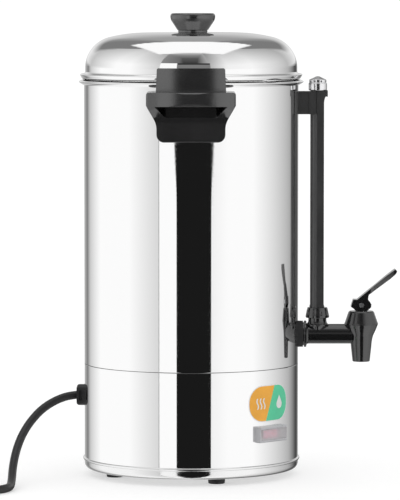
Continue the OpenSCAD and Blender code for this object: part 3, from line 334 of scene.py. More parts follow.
def run_tree(piece, maker, coat, **values):
    """Runs one of the geometry trees on a piece and keeps the plain mesh. coat names its finish."""
    modifier = piece.modifiers.new("build", "NODES")
    modifier.node_group = once(maker)
    found = {item.name: item.identifier for item in modifier.node_group.interface.items_tree}
    for label, value in {**values, "Finish": finish(coat)}.items():
        modifier[found[label.replace("_", " ")]] = value
    mesh = baked(piece).data
    coated(mesh, finish(coat))
    mesh.polygons.foreach_set("material_index", [0] * len(mesh.polygons))
    return piece


def supported(profile, near=0.15):
    """Adds points close to both ends of long straight runs, so that shading stays even along them."""
    line = [profile[0]]
    for a, b in zip(profile, profile[1:]):
        run = math.dist(a, b)
        if run > 6 * near:
            for share in (near / run, 1 - near / run):
                line.append((a[0] + (b[0] - a[0]) * share, a[1] + (b[1] - a[1]) * share))
        line.append(b)
    return line


def raised(profile, height):
    return [(r, z + height) for r, z in profile]


def turned(name, profile, coat, segments=96, axis=None, sharp=32):
    """A turned piece from (radius, height) points in millimetres. axis places it, with local Z along the axis."""
    piece = line_object(name, [(r * MM, 0, z * MM) for r, z in supported(profile)])
    run_tree(piece, turned_tree, coat, Segments=segments)
    outward(piece.data)
    if axis is not None:
        piece.data.transform(axis)
    smooth(piece.data, sharp)
    return piece


def modified(piece, name, kind, **values):
    """Runs one modifier on a piece and keeps the plain mesh."""
    modifier = piece.modifiers.new(name, kind)
    for key, value in values.items():
        setattr(modifier, key, value)
    return baked(piece)


def joined(name, pieces):
    """One piece from several, whose meshes are already in place."""
    whole = bmesh.new()
    mesh = bpy.data.meshes.new(name)
    for piece in pieces:
        for material in piece.data.materials:
            if material.name not in mesh.materials:
                mesh.materials.append(material)
        slots = {i: list(mesh.materials).index(m) for i, m in enumerate(piece.data.materials)}
        first = len(whole.faces)
        whole.from_mesh(piece.data)
        whole.faces.ensure_lookup_table()
        for face in whole.faces[first:]:
            face.material_index = slots.get(face.material_index, 0)
        dropped(piece)
    whole.to_mesh(mesh)
    whole.free()
    return add_object(name, mesh)


def softened(source, name, coat, slot, radius, steps=3, body="urn"):
    """Stands a CAD piece's copy, with rounded edges and even shading, in its place."""
    weld, flat, edge, crease = 2e-6, 0.6, 28, 40  # metres, then degrees
    mesh = bpy.data.meshes.new(name)
    shape = bmesh.new()
    shape.from_mesh(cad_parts[source].data)
    bmesh.ops.remove_doubles(shape, verts=shape.verts, dist=weld)
    bmesh.ops.dissolve_degenerate(shape, edges=shape.edges, dist=weld)
    bmesh.ops.dissolve_limit(
        shape, angle_limit=math.radians(flat), use_dissolve_boundaries=False,
        verts=shape.verts, edges=shape.edges)
    shape.to_mesh(mesh)
    shape.free()
    for layer in ("custom_normal", "sharp_edge", "sharp_face"):
        if layer in mesh.attributes:
            mesh.attributes.remove(mesh.attributes[layer])
    piece = add_object(name, mesh, finish(coat))
    modified(piece, "rounded edges", "BEVEL", width=radius, segments=steps, limit_method="ANGLE",
             angle_limit=math.radians(edge), use_clamp_overlap=True)
    smooth(piece.data, crease)
    modified(piece, "even shading", "WEIGHTED_NORMAL", weight=80, keep_sharp=True)
    return finished(piece, slot, source, body=body)


def cut(piece, tool):
    """Cuts the tool's shape out of a piece and removes the tool."""
    modified(piece, "cut", "BOOLEAN", operation="DIFFERENCE", solver="EXACT", object=tool)
    dropped(tool)
    smooth(piece.data)
    return piece


def refinished(piece, coat, chosen):
    """Gives another finish to the faces that chosen picks by their centre and normal."""
    piece.data.materials.append(finish(coat))
    last = len(piece.data.materials) - 1
    for face in piece.data.polygons:
        if chosen(face.center, face.normal):
            face.material_index = last


def finished(piece, slot, *nodes, body="urn"):
    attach(piece, body)
    if nodes:
        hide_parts(*nodes)
    return piece


# ---------------------------------------------------------------- finishes

def noise(place, scale, detail, **extra):
    return node("ShaderNodeTexNoise", {
        "Vector": place, "Scale": scale, "Detail": detail, **extra}).outputs["Fac"]


def spread(value, low, high, from_low=0.3, from_high=0.7):
    return node("ShaderNodeMapRange", {
        "Value": value, "From Min": from_low, "From Max": from_high, "To Min": low, "To Max": high}).outputs[0]


def polish_group():
    """Fine rings left by polishing, and soft clouds of haze."""
    start, end = new_tree("Polishing marks", "ShaderNodeTree", [
        ("Place", "Vector", None), ("Rings", "Float", 900.0), ("Clouds", "Float", 9.0)],
        [("Height", "Float"), ("Haze", "Float")])
    along, waves, wave_depth = 6.0, 14.0, 6.0
    x, y, z = node("ShaderNodeSeparateXYZ", {0: start["Place"]}).outputs
    stretched = node("ShaderNodeCombineXYZ", {
        "X": times(x, along), "Y": times(y, along), "Z": times(z, start["Rings"])})
    rings = noise(stretched, 1.0, 2.0)
    clouds = noise(start["Place"], start["Clouds"], 3.0)
    wave = noise(start["Place"], waves, 0.0)
    feed(end["Height"], math_node("MULTIPLY_ADD", wave, wave_depth, rings))
    feed(end["Haze"], times(clouds, rings))


def skin_group():
    """The fine skin of a moulding: small bumps, flow clouds and dust in its sheen."""
    start, end = new_tree("Moulded skin", "ShaderNodeTree", [
        ("Place", "Vector", None), ("Grain", "Float", 2500.0), ("Clouds", "Float", 30.0)],
        [("Height", "Float"), ("Sheen", "Float"), ("Shade", "Float")])
    clouds = noise(start["Place"], start["Clouds"], 4.0, Roughness=0.6)
    feed(end["Height"], noise(start["Place"], start["Grain"], 3.0))
    feed(end["Sheen"], clouds)
    feed(end["Shade"], spread(clouds, 0.9, 1.1))


def group_node(maker, links):
    return node("ShaderNodeGroup", links, node_tree=once(maker)).outputs


def cleared(owner):
    """Starts the node tree of a material or a world from nothing."""
    owner.use_nodes = True
    owner.node_tree.nodes.clear()
    BUILT["tree"] = owner.node_tree


def grey_of(value):
    return node("ShaderNodeCombineColor", {0: value, 1: value, 2: value})


def finish_base(name, colour, roughness, metallic, extra=()):
    """A material with one Principled shader; extra sets its other inputs."""
    material = bpy.data.materials.new(name)
    cleared(material)
    shader = node("ShaderNodeBsdfPrincipled", {
        "Base Color": (*colour[:3], 1), "Roughness": roughness, "Metallic": metallic, **dict(extra)})
    node("ShaderNodeOutputMaterial", {"Surface": shader})
    material.diffuse_color = (*colour[:3], 1)
    return material, shader.inputs, node("ShaderNodeTexCoord").outputs["Object"]


def bump(inputs, height, distance):
    made = node("ShaderNodeBump", {"Height": height, "Distance": distance, "Strength": 1.0})
    feed(inputs["Normal"], made)


def polished(name, colour, haze, rings, depth=0.00001):
    """Bright metal with polishing marks."""
    material, inputs, place = finish_base(name, colour, haze, 1.0)
    marks = group_node(polish_group, {"Place": place, "Rings": rings})
    feed(inputs["Roughness"], spread(marks["Haze"], haze * 0.6, haze * 1.8, 0.15, 0.4))
    bump(inputs, marks["Height"], depth)
    return material


def moulded(name, colour, roughness, grain=2500.0, depth=0.00002, extra=()):
    """Plastic, rubber or print with a moulded skin."""
    material, inputs, place = finish_base(name, colour, roughness, 0.0, extra)
    skin = group_node(skin_group, {"Place": place, "Grain": grain})
    feed(inputs["Roughness"], spread(skin["Sheen"], roughness * 0.88, roughness * 1.14))
    tone = node("ShaderNodeMix", {0: 1.0, 6: (*colour[:3], 1), 7: grey_of(skin["Shade"])},
                data_type="RGBA", blend_type="MULTIPLY")
    feed(inputs["Base Color"], tone.outputs[2])
    bump(inputs, skin["Height"], depth)
    return material


def clear(name, colour, roughness, grime, extra):
    """Glass or clear plastic with a faint haze."""
    material, inputs, place = finish_base(name, colour, roughness, 0.0, extra)
    skin = group_node(skin_group, {"Place": place, "Grain": 600.0, "Clouds": 60.0})
    feed(inputs["Roughness"], spread(skin["Sheen"], roughness, roughness + grime))
    return material


SHINE = {"IOR": 1.63, "Specular IOR Level": 1.0}

# colour, roughness, polishing rings per metre, depth of the marks in metres
POLISHED = {
    "inner steel": ((0.85, 0.85, 0.85), 0.22, 1400.0, 0.00002),
    # near-black steel for faces inside seams and gaps: painted shade where little light reaches, not a finish of
    # the sheet
    "shade painted steel": ((0.035, 0.035, 0.035), 0.5, 700.0),
    "base steel": ((0.86, 0.86, 0.86), 0.09, 700.0),
    "bright cap": ((0.86, 0.86, 0.87), 0.12, 1500.0),
    "zinc plate": ((0.66, 0.67, 0.68), 0.24, 2500.0),
    "plug pin": ((0.72, 0.7, 0.64), 0.2, 2500.0),
    "spreader": ((0.75, 0.75, 0.76), 0.34, 500.0, 0.00003),
    "element sheath": ((0.3, 0.29, 0.28), 0.42, 700.0, 0.00002),
}

# colour, roughness, grains per metre, depth of the grain in metres, other inputs
MOULDED = {
    "silicone": ((0.72, 0.7, 0.66), 0.5, 900.0, 0.00003, {
        "Subsurface Weight": 0.3, "Subsurface Radius": (0.004, 0.003, 0.002), "Subsurface Scale": 1.0}),
    "black rubber": ((0.018, 0.018, 0.019), 0.62, 1500.0, 0.00005),
    "gland black": ((0.02, 0.02, 0.021), 0.42, 1500.0, 0.00004),
    "switch grey": ((0.56, 0.56, 0.58), 0.3, 2000.0, 0.00002),
    "rocker red": ((0.98, 0.38, 0.54), 0.3, 900.0, 0.00001, {
        "Subsurface Weight": 0.4, "Subsurface Radius": (0.004, 0.001, 0.001), "Subsurface Scale": 1.0}),
    "cord sheath": ((0.016, 0.016, 0.017), 0.4, 2200.0, 0.00004),
    "sensor body": ((0.4, 0.3, 0.2), 0.55),
    "terminal ivory": ((0.66, 0.62, 0.52), 0.45),
    "wire sleeve": ((0.3, 0.09, 0.05), 0.55, 1200.0, 0.00005),
    "sticker rim": ((0.86, 0.86, 0.85), 0.3, 600.0, 0.00001),
    "sticker mark": ((0.9, 0.9, 0.88), 0.32, 600.0, 0.00001),
}

# colour, roughness, how much rougher the clouds are, other inputs
CLEAR = {
    "sight glass": ((0.97, 0.99, 0.99), 0.0, 0.03, {"IOR": 1.47, "Transmission Weight": 1.0}),
    "clear cover": ((0.95, 0.94, 0.95), 0.08, 0.08, {"IOR": 1.45, "Transmission Weight": 0.0, "Alpha": 0.3}),
}

FINISHES = {}


def finish(name):
    return FINISHES[name]


def make_finishes(scene):
    steel, mould, sticker = scene.urn_steel, scene.urn_moulding, scene.urn_sticker
    metals = {"polished steel": (steel.colour, steel.haze, 900.0, 0.000002), **POLISHED}
    skins = {
        "handle black": (mould.handle_colour, 0.17, 1800.0, 0.00001, SHINE),
        "gloss black": (mould.gloss_colour, 0.13, 1200.0, 0.00001, {**SHINE, "Specular IOR Level": 0.8}),
        "shield black": (mould.gloss_colour, 0.4, 1200.0, 0.00001, SHINE),
        "sticker warm": (sticker.warm, 0.32, 600.0, 0.00001),
        "sticker fresh": (sticker.fresh, 0.32, 600.0, 0.00001),
        **MOULDED,
    }
    for maker, rows in ((polished, metals), (moulded, skins), (clear, CLEAR)):
        for name, row in rows.items():
            FINISHES[name] = maker(name, *row)


# ---------------------------------------------------------------- room

def rays(first, *others):
    """1 for rays of these kinds, and 0 for the rest."""
    path = node("ShaderNodeLightPath").outputs
    seen = path[f"Is {first} Ray"]
    for kind in others:
        seen = math_node("MAXIMUM", seen, path[f"Is {kind} Ray"])
    return seen


def above(value, edge, soft):
    """0 below an edge and 1 above it, with a soft change between."""
    return spread(value, 0.0, 1.0, edge - soft, edge + soft)


def blend(share, a, b):
    return node("ShaderNodeMix", {0: share, 2: a, 3: b}, data_type="FLOAT").outputs[0]


def ramp(value, low, high, stops, most=1.0):
    """Shades along a value that runs from low to high. most is the shade that comes out as 1."""
    share = node("ShaderNodeMapRange", {"Value": value, "From Min": low, "From Max": high})
    made = node("ShaderNodeValToRGB", {0: share})
    row = made.color_ramp.elements
    while len(row) < len(stops):
        row.new(0.5)
    for element, (place, shade) in zip(row, stops):
        element.position = (place - low) / (high - low)
    for element, (place, shade) in zip(row, stops):
        element.color = (shade / most, shade / most, shade / most, 1)
    return made.outputs[0]


def around(turn, stops, most=1.0):
    """Shades all round the room."""
    return ramp(turn, -180, 180, stops, most)


def panel(x, y, z):
    """Where the bright panel hangs overhead."""
    soft, safe = 0.03, math_node("MAXIMUM", z, 0.05)
    px, py = math_node("DIVIDE", x, safe), math_node("DIVIDE", y, safe)
    return times(above(z, 0.1, soft), above(px, -0.5, soft), above(times(px, -1.0), -0.6, soft),
                 above(times(math_node("ABSOLUTE", py), -1.0), -0.57, soft))


def screen(turn, rise):
    """Where the dark screen stands: narrow near the ground, wider higher up."""
    most, soft = 40.0, 0.15
    left = ramp(rise, -8, 32, [
        (-8, 15.5), (-3.2, 15.5), (-2.3, 18.5), (0, 15.5), (23.5, 15.5), (24.5, 34.4), (32, 34.4)], most)
    right = ramp(rise, -8, 32, [
        (-8, 21), (-3.2, 21.5), (-2.3, 25), (0, 21), (23, 21), (25, 19), (32, 19)], most)
    left = math_node("MULTIPLY_ADD", left, most, turn)
    right = math_node("SUBTRACT", times(right, most), turn)
    return times(above(left, 0.0, soft), above(right, 0.0, soft))


def screen_light(turn, rise):
    """The screen's own brightness by height, with paler flanks higher up."""
    middle = ramp(rise, 0, 90, [
        (0, .01), (1, .2), (18, .2), (20, .03), (42, .1), (54, .25), (62, .5), (66, .85), (90, .85)])
    flank = ramp(turn, -36, 30, [(-36, .25), (-14, .15), (-6, .0), (5, .0), (19, .4), (30, .4)])
    flank = times(flank, above(rise, 24.0, 1.0))
    return math_node("MAXIMUM", middle, flank)


# ---------------------------------------------------------------- operators

class URN_OT_stage(bpy.types.Operator):
    """Makes the camera, the floor and the studio room"""
    bl_idname = "urn.stage"
    bl_label = "Stage"

    SIDESTEP, SENSOR, NEAR, FAR = -0.009, 36, 0.1, 60  # of the camera
    FLOOR = [(-9, -9, 0), (9, -9, 0), (9, 9, 0), (-9, 9, 0)]

    def execute(self, context):
        stage = context.scene.urn_stage
        data = bpy.data.cameras.new("view")
        data.lens = stage.lens
        data.sensor_width = self.SENSOR
        data.clip_start, data.clip_end = self.NEAR, self.FAR
        camera = add_object("view", data)
        camera.location = (-stage.distance, self.SIDESTEP, stage.eye)
        camera.rotation_euler = (math.radians(90) - stage.tilt, 0, math.radians(-90))
        context.scene.camera = camera
        context.scene.view_settings.view_transform = "Standard"
        mesh = bpy.data.meshes.new("floor")
        mesh.from_pydata(self.FLOOR, [], [(0, 1, 2, 3)])
        floor = add_object("floor", mesh, self.floor_finish())
        floor.visible_glossy = False
        self.room(context.scene)
        return {"FINISHED"}

    def floor_finish(self):
        """Pale matt floor that reads white where no shadow lies."""
        material = bpy.data.materials.new("floor")
        cleared(material)
        plain = node("ShaderNodeBsdfDiffuse", {"Color": (0.6, 0.6, 0.6, 1)})
        glow = node("ShaderNodeEmission", {"Color": (1, 1, 1, 1), "Strength": 0.47})
        nothing = node("ShaderNodeEmission", {"Strength": 0.0})
        seen = rays("Camera", "Transmission")
        choice = node("ShaderNodeMixShader", {0: seen, 1: nothing, 2: glow})
        both = node("ShaderNodeAddShader", {0: plain, 1: choice})
        node("ShaderNodeOutputMaterial", {"Surface": both})
        return material

    def room(self, scene):
        """A white studio room with a dark screen behind the camera and a bright panel overhead."""
        world = bpy.data.worlds.new("studio")
        scene.world = world
        cleared(world)
        way = node("ShaderNodeTexCoord").outputs["Generated"]
        x, y, z = node("ShaderNodeSeparateXYZ", {0: way}).outputs
        # turn is the angle round from the camera, rise the one up from level, both in degrees
        turn = times(math_node("ARCTAN2", times(y, -1.0), times(x, -1.0)), 180 / math.pi)
        rise = times(math_node("ARCSINE", z), 180 / math.pi)
        back, down = times(turn, -1.0), times(rise, -1.0)
        low_wall = around(turn, [
            (-180, .7), (-150, .2), (-140, .6), (-115, 1), (-70, 1), (-35, .7), (-20, .7), (40, 1), (70, 1),
            (130, .45), (150, .1), (158, .05), (180, .6)])
        high_wall = around(turn, [
            (-180, .6), (-165, .85), (-140, .55), (-90, 1), (-70, 1), (-30, .6), (20, .45), (40, .9), (70, .95),
            (130, .5), (165, .85), (180, .6)])
        high_wall = times(high_wall, ramp(rise, 0, 90, [(0, 1.0), (15, 1.0), (60, .6), (90, .5)]))
        wall = blend(above(rise, 2.0, 1.5), low_wall, high_wall)
        # bright part beside the screen, and the dark line at its edge
        front = times(above(turn, -34.4, 0.12), above(back, 0.0, 1.0), above(down, -24, 0.5))
        wall = blend(front, wall, 1.0)
        line = times(above(turn, -34.9, 0.12), above(back, 34.4, 0.12), above(down, -2, 1.0))
        wall = blend(line, wall, 0.1)
        # dark part overhead: how high it starts, how soft its edge is, and its shade
        start = around(turn, [
            (-180, 8), (-165, 8), (-148, 15), (-123, 43), (-90, 65), (90, 65), (123, 44), (148, 16), (165, 8),
            (180, 8)], 90)
        width = around(turn, [
            (-180, 19), (-165, 15), (-148, 8), (-123, 3), (-90, 2), (90, 2), (123, 3), (148, 8), (165, 15),
            (180, 19)], 90)
        dark = around(turn, [(-180, .34), (-172, .34), (-160, .2), (160, .2), (172, .34), (180, .34)])
        over = math_node("SUBTRACT", math_node("DIVIDE", rise, 90.0), start)
        over = node("ShaderNodeClamp", {0: math_node("DIVIDE", over, width)}).outputs[0]
        value = blend(over, wall, dark)
        value = blend(screen(turn, rise), value, screen_light(turn, rise))
        value = blend(panel(x, y, z), value, 1.0)
        value = blend(rays("Camera", "Transmission", "Diffuse"), value, 1.0)
        sky = node("ShaderNodeBackground", {"Color": grey_of(value), "Strength": 1.04})
        node("ShaderNodeOutputWorld", {"Surface": sky})


class URN_OT_cord(bpy.types.Operator):
    """Makes the mains cord with its coil, and dresses the gland and the plug"""
    bl_idname = "urn.cord"
    bl_label = "Cord and plug"

    LEAD = [(0, 101, 82), (0, 110, 82), (0, 119, 81.6), (-3, 131, 79.6), (-9, 143.5, 74.6), (-17, 155, 67),
            (-28, 165, 56.5), (-42, 172, 46), (-58, 176.5, 35.5), (-76, 179, 25.5), (-95, 180, 16.5),
            (-115, 180, 9), (-134, 180.5, 4.8), (-149, 183.5, 4.2), (-160.5, 191, 4.2),
            (-168.5, 203, 4.2), (-171, 217, 4.2), (-171, 231, 4.2), (-171, 244, 4.2)]
    TAIL = [(-104, 320, 12.6), (-93, 320, 12.7), (-82, 320, 14.2), (-72, 320, 16.8), (-61, 320, 18)]
    START = [(-171, 257, 4.2), (-171, 270, 4.2)]
    COIL, COIL_R = (-121, 270), 50.0  # middle of the coil and radius of its outer turns
    STEP, CHANGE = 7.5, 100  # degrees from point to point, and over which the coil changes rows
    INWARD, UPWARD, OUTWARD = 265, 545, 805  # degrees where it starts to go inwards, up and outwards

    def execute(self, context):
        cord = context.scene.urn_cord
        d = cord.diameter
        line = metres(eased(self.LEAD, 3) + self.coil(cord.turns, d / MM) + eased(self.TAIL, 3))
        sheath = run_tree(
            line_object("mains_cord", line), sheath_tree, "cord sheath", Diameter=d, Sides=cord.sides)
        outward(sheath.data)
        smooth(sheath.data, 50)
        finished(sheath, "cord_sheath", "cord_lead", "cord_coil", "cord_tail")
        tie = self.tie()
        plug = softened("plug_body", "plug_grip", "cord sheath", "cord_sheath", 0.0008, 2)
        softened("cord_gland", "cord_grip", "gland black", "gland_black", 0.0006)
        for piece in (sheath, tie, plug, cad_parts["plug_pins"]):
            piece.visible_glossy = False
        return {"FINISHED"}

    def coil(self, turns, thick):
        """The coil's line: two turns side by side below and two above, clockwise from above."""
        cx, cy = self.COIL
        points = list(self.START)
        for i in range(1, int((360 * turns + 90) / self.STEP) + 1):
            a = i * self.STEP
            inward, up, back = (gentle((a - start) / self.CHANGE) for start in (
                self.INWARD, self.UPWARD, self.OUTWARD))
            r = self.COIL_R - thick * inward + thick * back
            turn = math.radians(180 - a)
            points.append((cx + r * math.cos(turn), cy + r * math.sin(turn), thick / 2 + thick * up))
        return points

    def tie(self):
        """A paper-covered wire wound round the coil's turns."""
        turn, from_middle, steps = math.radians(50), 0.0458, 6
        half_w, low, high = 0.0088, 0.0006, 0.0168
        half, thick = 0.0022, 0.0005
        out = Vector((math.cos(turn), math.sin(turn), 0))
        along = Vector((-math.sin(turn), math.cos(turn), 0))
        middle = Vector((*self.COIL, 0)) * MM + out * from_middle
        ring = [(-half_w, low), (half_w, low), (half_w, high), (-half_w, high)]
        points = []
        for (u, v), (next_u, next_v) in zip(ring, ring[1:] + ring[:1]):
            for t in (s / steps for s in range(steps)):
                points.append(middle + out * (u + (next_u - u) * t) + Vector((0, 0, v + (next_v - v) * t)))
        centre = middle + Vector((0, 0, high / 2))
        verts, faces = [], []
        for p in points:
            away = (p - centre).normalized() * thick
            away.z = min(away.z, thick)
            for side in (-half, half):
                verts += [p + along * side, p + along * side + away]
        for i in range(len(points)):
            a, b = 4 * i, 4 * ((i + 1) % len(points))
            faces += [(a + j, b + j, b + k, a + k) for j, k in ((0, 1), (1, 3), (3, 2), (2, 0))]
        mesh = bpy.data.meshes.new("cord_tie")
        mesh.from_pydata(verts, [], faces)
        outward(mesh)
        tie = add_object("cord_tie", mesh, finish("sticker rim"))
        smooth(mesh, 40)
        return finished(tie, "cord_sheath")


class URN_OT_vessel(bpy.types.Operator):
    """Turns the tank and the skirt"""
    bl_idname = "urn.vessel"
    bl_label = "Tank and skirt"

    BEAD = [(0, 0), (.22, .06), (.5, .2), (.8, .38), (.96, .5), (1, .58), (.97, .65), (.86, .73), (.58, .87),
            (.3, .96), (.1, 1), (-.06, .98), (-.15, .9)]
    INSIDE_R, INSIDE_Z = 0.10925, 0.1232  # metres; faces within and above these are the tank's inside

    def execute(self, context):
        steel = context.scene.urn_steel
        tank_low, tank_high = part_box("tank")
        r, t, seam, rim = SHELL_R, SHEET, tank_low.z / MM, tank_high.z / MM + 0.5
        corner, reach, tall = steel.corner / MM, tank_high.x / MM - r, 5.7
        bead = [(r + reach * a, rim - tall + tall * b) for a, b in eased(self.BEAD, 3)]
        floor = seam + 8
        profile = [(0, floor)] + arc(r - t - corner, floor + corner, corner, -90, 0, 10)
        profile += [(r - t, rim - 0.6)] + bead[::-1]
        profile += [(r, seam + 0.25), (r - 0.1, seam + 0.06), (r - 0.3, seam), (r - t, seam), (r - t, floor - 1),
                    (0, floor - 1)]
        tank = turned("tank_shell", profile, "polished steel", steel.segments, sharp=40)
        refinished(tank, "inner steel", lambda c, n: math.hypot(c.x, c.y) < self.INSIDE_R and c.z > self.INSIDE_Z)
        # the tank's downward lip at the seam is painted dark as shade in the gap
        refinished(tank, "shade painted steel", lambda c, n: c.z < (seam + 0.1) * MM and n.z < -0.5)
        finished(tank, "polished_steel", "tank")
        top, step = seam - 0.4, r - t - 0.02
        profile = [(r - t, HEM), (r, HEM), (r, top - 0.3), (r - 0.12, top - 0.08), (r - 0.4, top), (step, top),
                   (step, seam + 6), (step - t, seam + 6), (step - t, top - 6), (r - t, top - 6 - t), (r - t, HEM)]
        skirt = turned("skirt_shell", profile, "polished steel", steel.segments, sharp=40)
        # the skirt's top step inside the seam is painted dark as shade in the gap
        refinished(skirt, "shade painted steel", lambda c, n: c.z > (top - 0.05) * MM)
        finished(skirt, "polished_steel", "skirt")
        return {"FINISHED"}


class URN_OT_base(bpy.types.Operator):
    """Turns the base pan with its vents and sets the feet"""
    bl_idname = "urn.base"
    bl_label = "Base and feet"

    LOW, ROUND = 6.8, 6  # height of the pan's floor and radius of its corner
    FOOT = [(4.25, 2.0), (4.25, 0.25), (4.5, 0.0), (7.7, 0), (8.15, 0.15), (8.35, 0.6), (9.0, 6.3),
            (8.7, 6.8), (2.1, 6.8), (2.1, 2.0), (4.25, 2.0)]
    FOOT_RING, FOOT_TURN, FEET = 82.5, math.radians(18.2), 4  # radius of their ring, its turn and their number
    SLOT_RING, SLOT_HALF, SLOT_END, SLOTS = 44, 9.0, 1.5, 16  # the same, with half a slot and its end's radius

    def execute(self, context):
        low, edge, r, t = self.LOW, self.ROUND, SHELL_R, SHEET
        profile = [(0, low)] + arc(r - edge, low + edge, edge, -90, 0, 10)
        profile += arc(r, HEM, 1.6, -75, 100, 16) + [(r - t, HEM + 0.6), (r - t, low + edge)]
        profile += arc(r - edge, low + edge, edge - t, 0, -90, 8) + [(0, low + t)]
        pan = turned("base_pan_shell", profile, "base steel", context.scene.urn_steel.segments, sharp=40)
        cut(pan, self.slots())
        finished(pan, "polished_steel", "base_pan")
        foot = turned("feet_rubber", self.FOOT, "black rubber", 64)
        foot.data.transform(Matrix.Translation((self.FOOT_RING * MM, 0, 0)))
        run_tree(foot, ring_tree, "black rubber", Count=self.FEET, First_angle=self.FOOT_TURN)
        finished(foot, "black_rubber", "feet")
        return {"FINISHED"}

    def slots(self):
        """The cutter of the cooling slots."""
        mesh = bpy.data.meshes.new("slots")
        half, r = self.SLOT_HALF, self.SLOT_END
        outline = arc(half, 0, r, -90, 90, 8) + arc(-half, 0, r, 90, 270, 8)
        n = len(outline)
        verts = [((self.SLOT_RING + u) * MM, v * MM, z * MM) for z in (4, 9) for u, v in outline]
        faces = [tuple(range(n))[::-1], tuple(range(n, 2 * n))]
        faces += [(i, (i + 1) % n, n + (i + 1) % n, n + i) for i in range(n)]
        mesh.from_pydata(verts, [], faces)
        tool = run_tree(add_object("slots", mesh), ring_tree, "base steel", Count=self.SLOTS, First_angle=0.0)
        outward(tool.data)
        return tool


class URN_OT_lid(bpy.types.Operator):
    """Turns the lid with its bead and steam notch, and the knob"""
    bl_idname = "urn.lid"
    bl_label = "Lid and knob"

    CROWN, SIDE = 455.0, 108.8  # height of the top and radius of the side
    REACH, LOW, TALL = 5.2, 407.9, 5.5  # the bead's reach past the side, its underside and its height
    BEAD = [(0, 1.3), (.06, 1.12), (.2, 1.01), (.55, .97), (.86, .9), (.97, .83), (1, .74), (.96, .62), (.84, .4),
            (.7, .18), (.56, .05), (.36, 0), (.1, .02), (0, .08)]
    KNOB_Y = -1.6
    KNOB = [(0, 19.8), (10, 19.8), (19.9, 19.8), *arc(20.4, 17.2, 2.6, 86, 0, 8), *arc(13, 16.63, 10, -2, -35, 8),
            (15.9, 2.77), (15.2, 2.5), (15, 2.28), (15, 0.25), (14.75, 0), (2.5, 0), (2.5, 14), (0, 14)]
    NOTCH = math.radians(228.3), 0.032, 0.0019, 0.1135  # turn, length, height and the bead's radius, in metres

    def execute(self, context):
        profile = self.line(0)[:-1]
        profile += [(self.SIDE + self.REACH * a, self.LOW + self.TALL * b) for a, b in eased(self.BEAD, 4)]
        profile += [(self.SIDE - SHEET, self.LOW + 0.6)] + self.line(SHEET)[::-1][1:]
        segments = max(context.scene.urn_steel.segments, 320)
        lid = turned("lid_shell", profile, "polished steel", segments, sharp=40)
        self.notch(lid.data)
        # the bead's underside is painted dark as shade between the lid and the tank's rim
        refinished(lid, "shade painted steel", lambda c, n: c.z < (self.LOW + 0.7) * MM and n.z < -0.6)
        finished(lid, "polished_steel", "lid", body="lid")
        place = Matrix.Translation((0, self.KNOB_Y * MM, self.CROWN * MM))
        knob = turned("lid_knob_black", self.KNOB, "handle black", 128, place, 36)
        finished(knob, "black_handle", "lid_knob", body="lid")
        return {"FINISHED"}

    def line(self, t):
        """The lid's line from the crown's centre to its side, moved inwards by t."""
        slope, crown, shoulder = 14.0, 46.0, 32.5
        s, c = math.sin(math.radians(slope)), math.cos(math.radians(slope))
        dome = (self.SIDE - shoulder - crown) / s + shoulder
        shoulder_z = self.CROWN - dome + (dome - shoulder) * c
        return ([(0, self.CROWN - t), (20, self.CROWN - t)]
                + arc(crown, self.CROWN - dome, dome - t, 90, 90 - slope, 12)
                + arc(self.SIDE - shoulder, shoulder_z, shoulder - t, 90 - slope, 0, 30)
                + [(self.SIDE - t, self.LOW + 3)])

    def notch(self, mesh):
        """Raises the bead's underside into the steam notch."""
        middle, length, height, bead_r = self.NOTCH
        round_r = (length ** 2 / 4 + height ** 2) / (2 * height)
        low, top, inside = self.LOW * MM, 0.8 * self.TALL * MM, 0.1084
        for vertex in mesh.vertices:
            x, y, z = vertex.co
            if z > low + top or math.hypot(x, y) < inside:
                continue
            gap = math.atan2(y, x) - middle
            along = abs((gap + math.pi) % math.tau - math.pi) * bead_r
            if along < length / 2:
                roof = low + height - (round_r - math.sqrt(round_r ** 2 - along ** 2))
                vertex.co.z = max(z, roof + (z - low) * 0.02)
        mesh.update()


class URN_OT_handles(bpy.types.Operator):
    """Rounds the edges of the two handles"""
    bl_idname = "urn.handles"
    bl_label = "Handles"

    def execute(self, context):
        edge = context.scene.urn_moulding.handle_edge
        for side in ("left", "right"):
            softened("handle_" + side, "grip_" + side, "handle black", "black_handle", edge)
        return {"FINISHED"}


